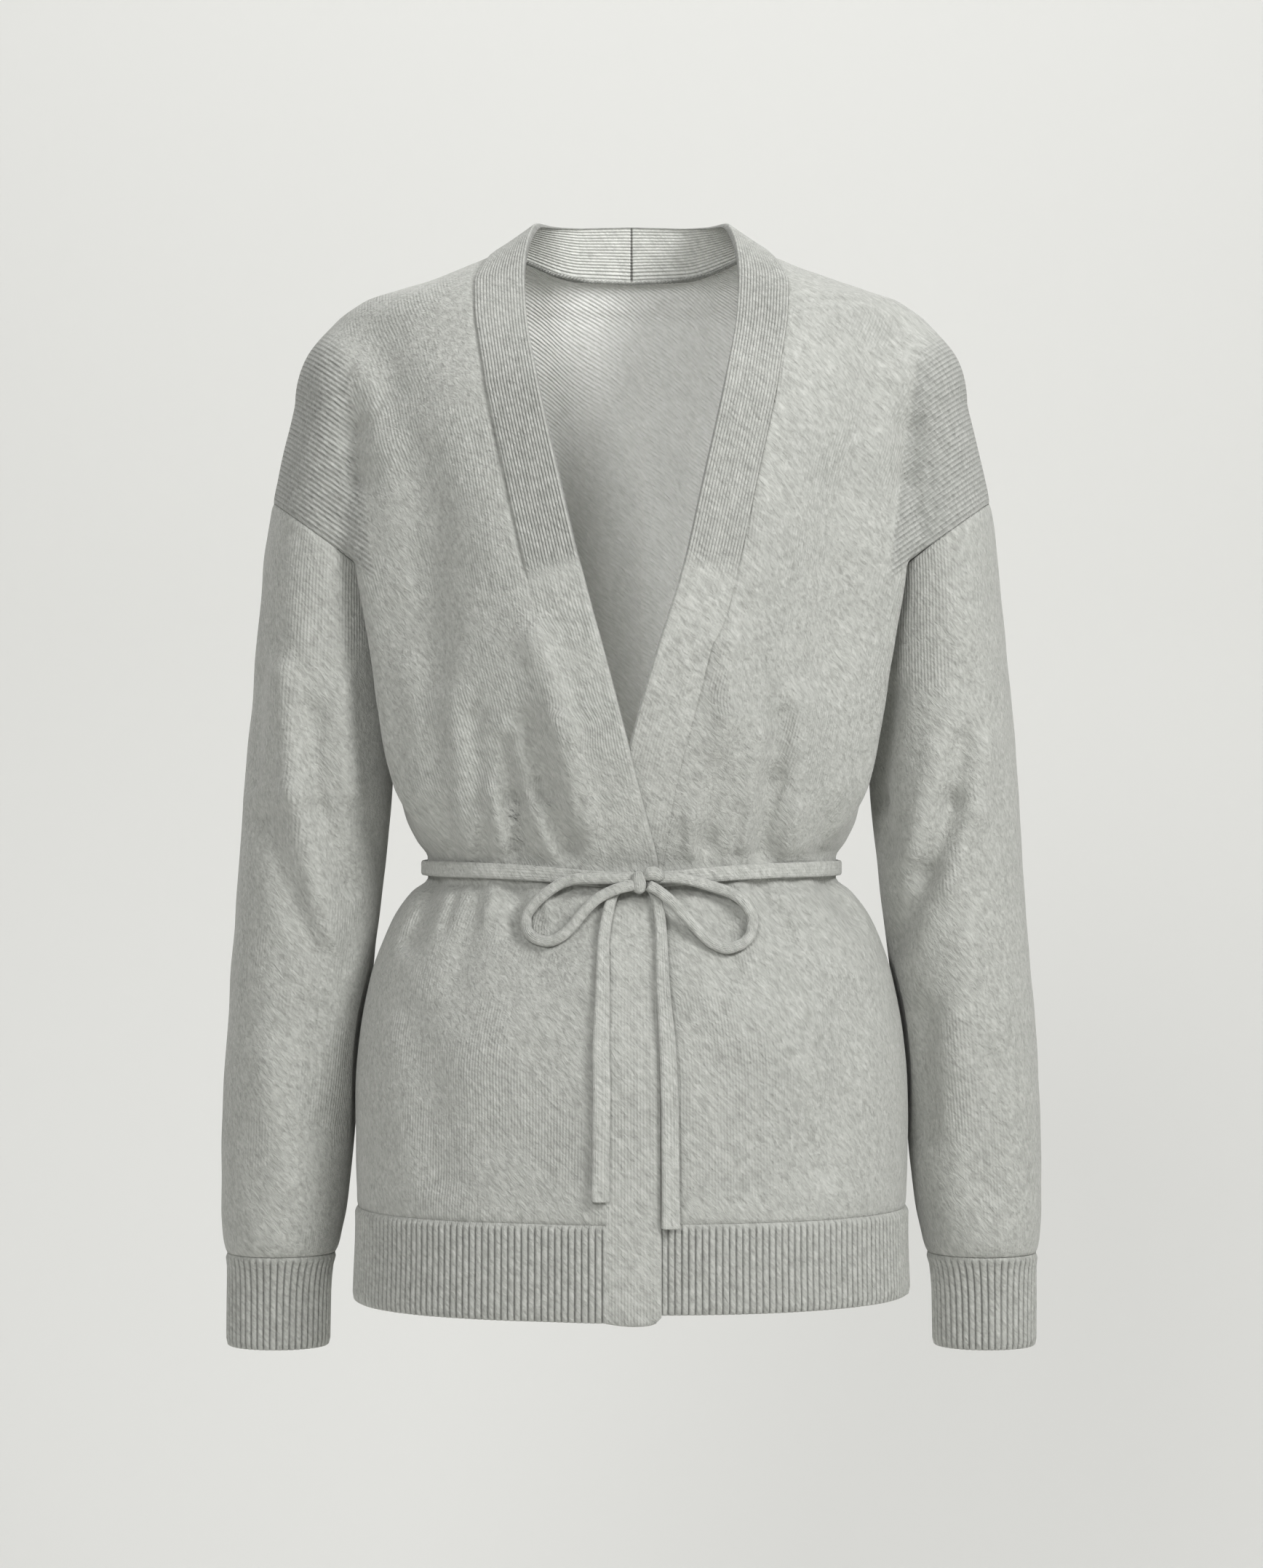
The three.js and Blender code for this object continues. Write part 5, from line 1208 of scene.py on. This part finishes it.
rib_piece("hem_rib_back", back_hem_section, HEM_SEAM - SEAM_GAP, HEM_BACK,
          round(line_length(back_hem_section(HEM_SEAM)) / RIB_PITCH), False)


# Bands: first rows beside the centre back seam, and the height, roll and reach of their edges
BAND_START = (0.9, 1.9)
BAND_FIRST_ROW = 3.6
BAND_RIB_GAIN = 1.6
BAND_EDGE_ROLL = 0.55
EDGE_REACH = 1.6


def band_grid(side, rows, columns):
    """P(t, c): from the seam at length t straight or along the body to the free edge."""
    t = np.concatenate([BAND_START, np.linspace(BAND_FIRST_ROW, side.length, rows - len(BAND_START))])
    seam = side.seam_point(t)
    planned = side.seam(t)
    edge = side.edge(t)
    share = np.linspace(0, 1, columns + 1)[None, :, None]
    straight = mix(seam[:, None], edge[:, None], share)
    laid = settle(side.field, straight, (0, 1, 0))
    on_body = smooth((-52 - planned[:, 2]) / 45)[:, None, None]
    base = mix(straight, laid, on_body)
    base[:, 0] = seam
    return t, planned, base


for name, side in (("band_right", RIGHT), ("band_left", LEFT)):
    columns = LINES_PER_BAND_RIB * BAND_RIBS
    t, planned, base = band_grid(side, BAND_ROWS, columns)
    normals = grid_normals(base, False, side.sign)
    root = unit(gradient(side.field, base[:, 0]))[:, None]
    turn = smooth(np.arange(columns + 1) / 20)[None, :, None]
    normals = unit(mix(root, normals, turn))
    count = np.arange(columns + 1)
    share_out = smooth(count / (0.7 * columns))[None]
    ribbed = fulled(planned[:, 2])[:, None]
    crown = np.abs(np.sin(np.pi * count / LINES_PER_BAND_RIB)) ** 0.8
    ribs = BAND_RIB_HEIGHT * BAND_RIB_GAIN * crown[None] * ribbed
    free = BAND_EDGE_ROLL * np.exp(-(columns - count) / EDGE_REACH)[None]
    shown = seam_shown(planned[:, 2], side.sign)[:, None]
    root_dip = BAND_SEAM_DEPTH * np.exp(-count / EDGE_REACH)[None] * shown
    waves = BAND_WAVE_HEIGHT * unevenness(base, BAND_WAVE, 41) * smooth(count / 10)[None]
    lift = mix(0.15 + BAND_PROUD * share_out, BAND_PROUD, ribbed) + ribs - root_dip - free + waves
    grid = base + normals * lift[..., None]
    if side.sign < 0:
        low = smooth((HEM_RIGHT + HEM_CORNER - planned[:, 2]) / HEM_CORNER)[:, None]
        across = count[None] / columns
        grid[..., 0] -= low**2 * np.maximum(across - 0.75, 0) * 4 * HEM_CORNER * 0.55 * across
        grid[..., 2] -= 1.6 * low * np.sin(np.pi * across)
    u = np.linspace(0, 31, columns + 1)[None] + np.zeros((len(t), 1))
    uv = np.stack([u, t[:, None] + np.zeros((1, columns + 1))], -1)
    over = np.stack(np.broadcast_arrays(count[None] / LINES_PER_BAND_RIB * YOKE_PITCH * MM, ribbed), -1)
    obj = shell(f"knit_{name}", grid, normals, BAND_WALL - 0.2, BAND_KNIT, BAND_INSIDE_PAINTED_LIGHT, flip=side.sign > 0,
                uv=uv, bulge=0.38, ribs=over)
    dress(obj, name)


# Linked chain seam inside the back neck
CHAIN_STEPS = 600
CHAIN_PITCH = 7
CHAIN_DROP = 2.4
CHAIN_OUT = 0.9
CHAIN_WIDTH = 1.9


def chain():
    """Small slanted loops along the inner side of the back neck seam."""
    line = resample(back_neck(), CHAIN_STEPS)
    inward = -unit(gradient(body_field, line) * [1, 1, 0])
    line = line + inward * (CLOTH_WALL + CHAIN_OUT) + [0, 0, -CHAIN_DROP]
    s = np.arange(len(line))
    wave = np.sin(2 * np.pi * s / CHAIN_PITCH)
    path = line + np.stack([np.zeros_like(wave), np.zeros_like(wave), 0.5 * wave], 1)
    path = path + inward * (0.35 * np.cos(2 * np.pi * s / CHAIN_PITCH))[:, None]
    width = CHAIN_WIDTH + 0.5 * wave
    return sweep("knit_neck_chain", path[4:-4], np.array([0, 0, 1.0]), width[4:-4], width[4:-4], BELT_KNIT,
                 count=8, flat=1.0)


neck_chain = chain()
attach(neck_chain, "root")


# Studio
def plain(name, code, roughness):
    """Matt painted surface: one even colour for the floor."""
    material = bpy.data.materials.new(name)
    material.use_nodes = True
    shader = material.node_tree.nodes["Principled BSDF"]
    shader.inputs["Base Color"].default_value = colour(code)
    shader.inputs["Roughness"].default_value = roughness
    return material


def backdrop():
    """Floor running up into a wall: y = start + r sin(a), z = floor + r (1 - cos(a)) between them."""
    radius = 1.2
    start = 1.5
    low = -1.3
    near = -8.0
    top = 7.0
    half = 9.0
    a = np.linspace(0, np.pi / 2, 25)
    y = np.concatenate([[near], start + radius * np.sin(a), [start + radius]])
    z = np.concatenate([[low], low + radius * (1 - np.cos(a)), [top]])
    points = np.array([(x, py, pz) for x in (-half, half) for py, pz in zip(y, z)]) / MM
    n = len(y)
    faces = np.array([(i, i + 1, n + i + 1, n + i) for i in range(n - 1)])
    paint = plain("pale_floor", "#E9E9E6", 0.95)
    obj = add_mesh("pale_floor", points, faces[:, ::-1], np.zeros((2 * n, 2)), paint)


backdrop()

world = bpy.data.worlds.new("pale_room")
world.use_nodes = True
world.node_tree.nodes["Background"].inputs["Color"].default_value = colour("#F2F2F0")
world.node_tree.nodes["Background"].inputs["Strength"].default_value = 0.29
bpy.context.scene.world = world
bpy.context.scene.view_settings.view_transform = "Standard"


def area_light(name, place, target, size, power):
    light = bpy.data.lights.new(name, "AREA")
    light.shape = "DISK"
    light.size = size
    light.energy = power
    obj = bpy.data.objects.new(name, light)
    obj.location = place
    obj.rotation_euler = (Vector(target) - Vector(place)).to_track_quat("-Z", "Y").to_euler()
    bpy.context.scene.collection.objects.link(obj)


MIDDLE = (0, 0, CAMERA_HEIGHT)
area_light("far_key", (2.3, -2.0, 1.3), MIDDLE, 0.7, 15)
area_light("near_key", (1.2, -1.4, 0.7), MIDDLE, 0.8, 27)
area_light("front_fill", (-0.6, -3.0, 0.6), MIDDLE, 0.8, 39)
area_light("backdrop_light", (0.0, 0.2, 3.2), (0, 2.7, 0.2), 2.4, 72)
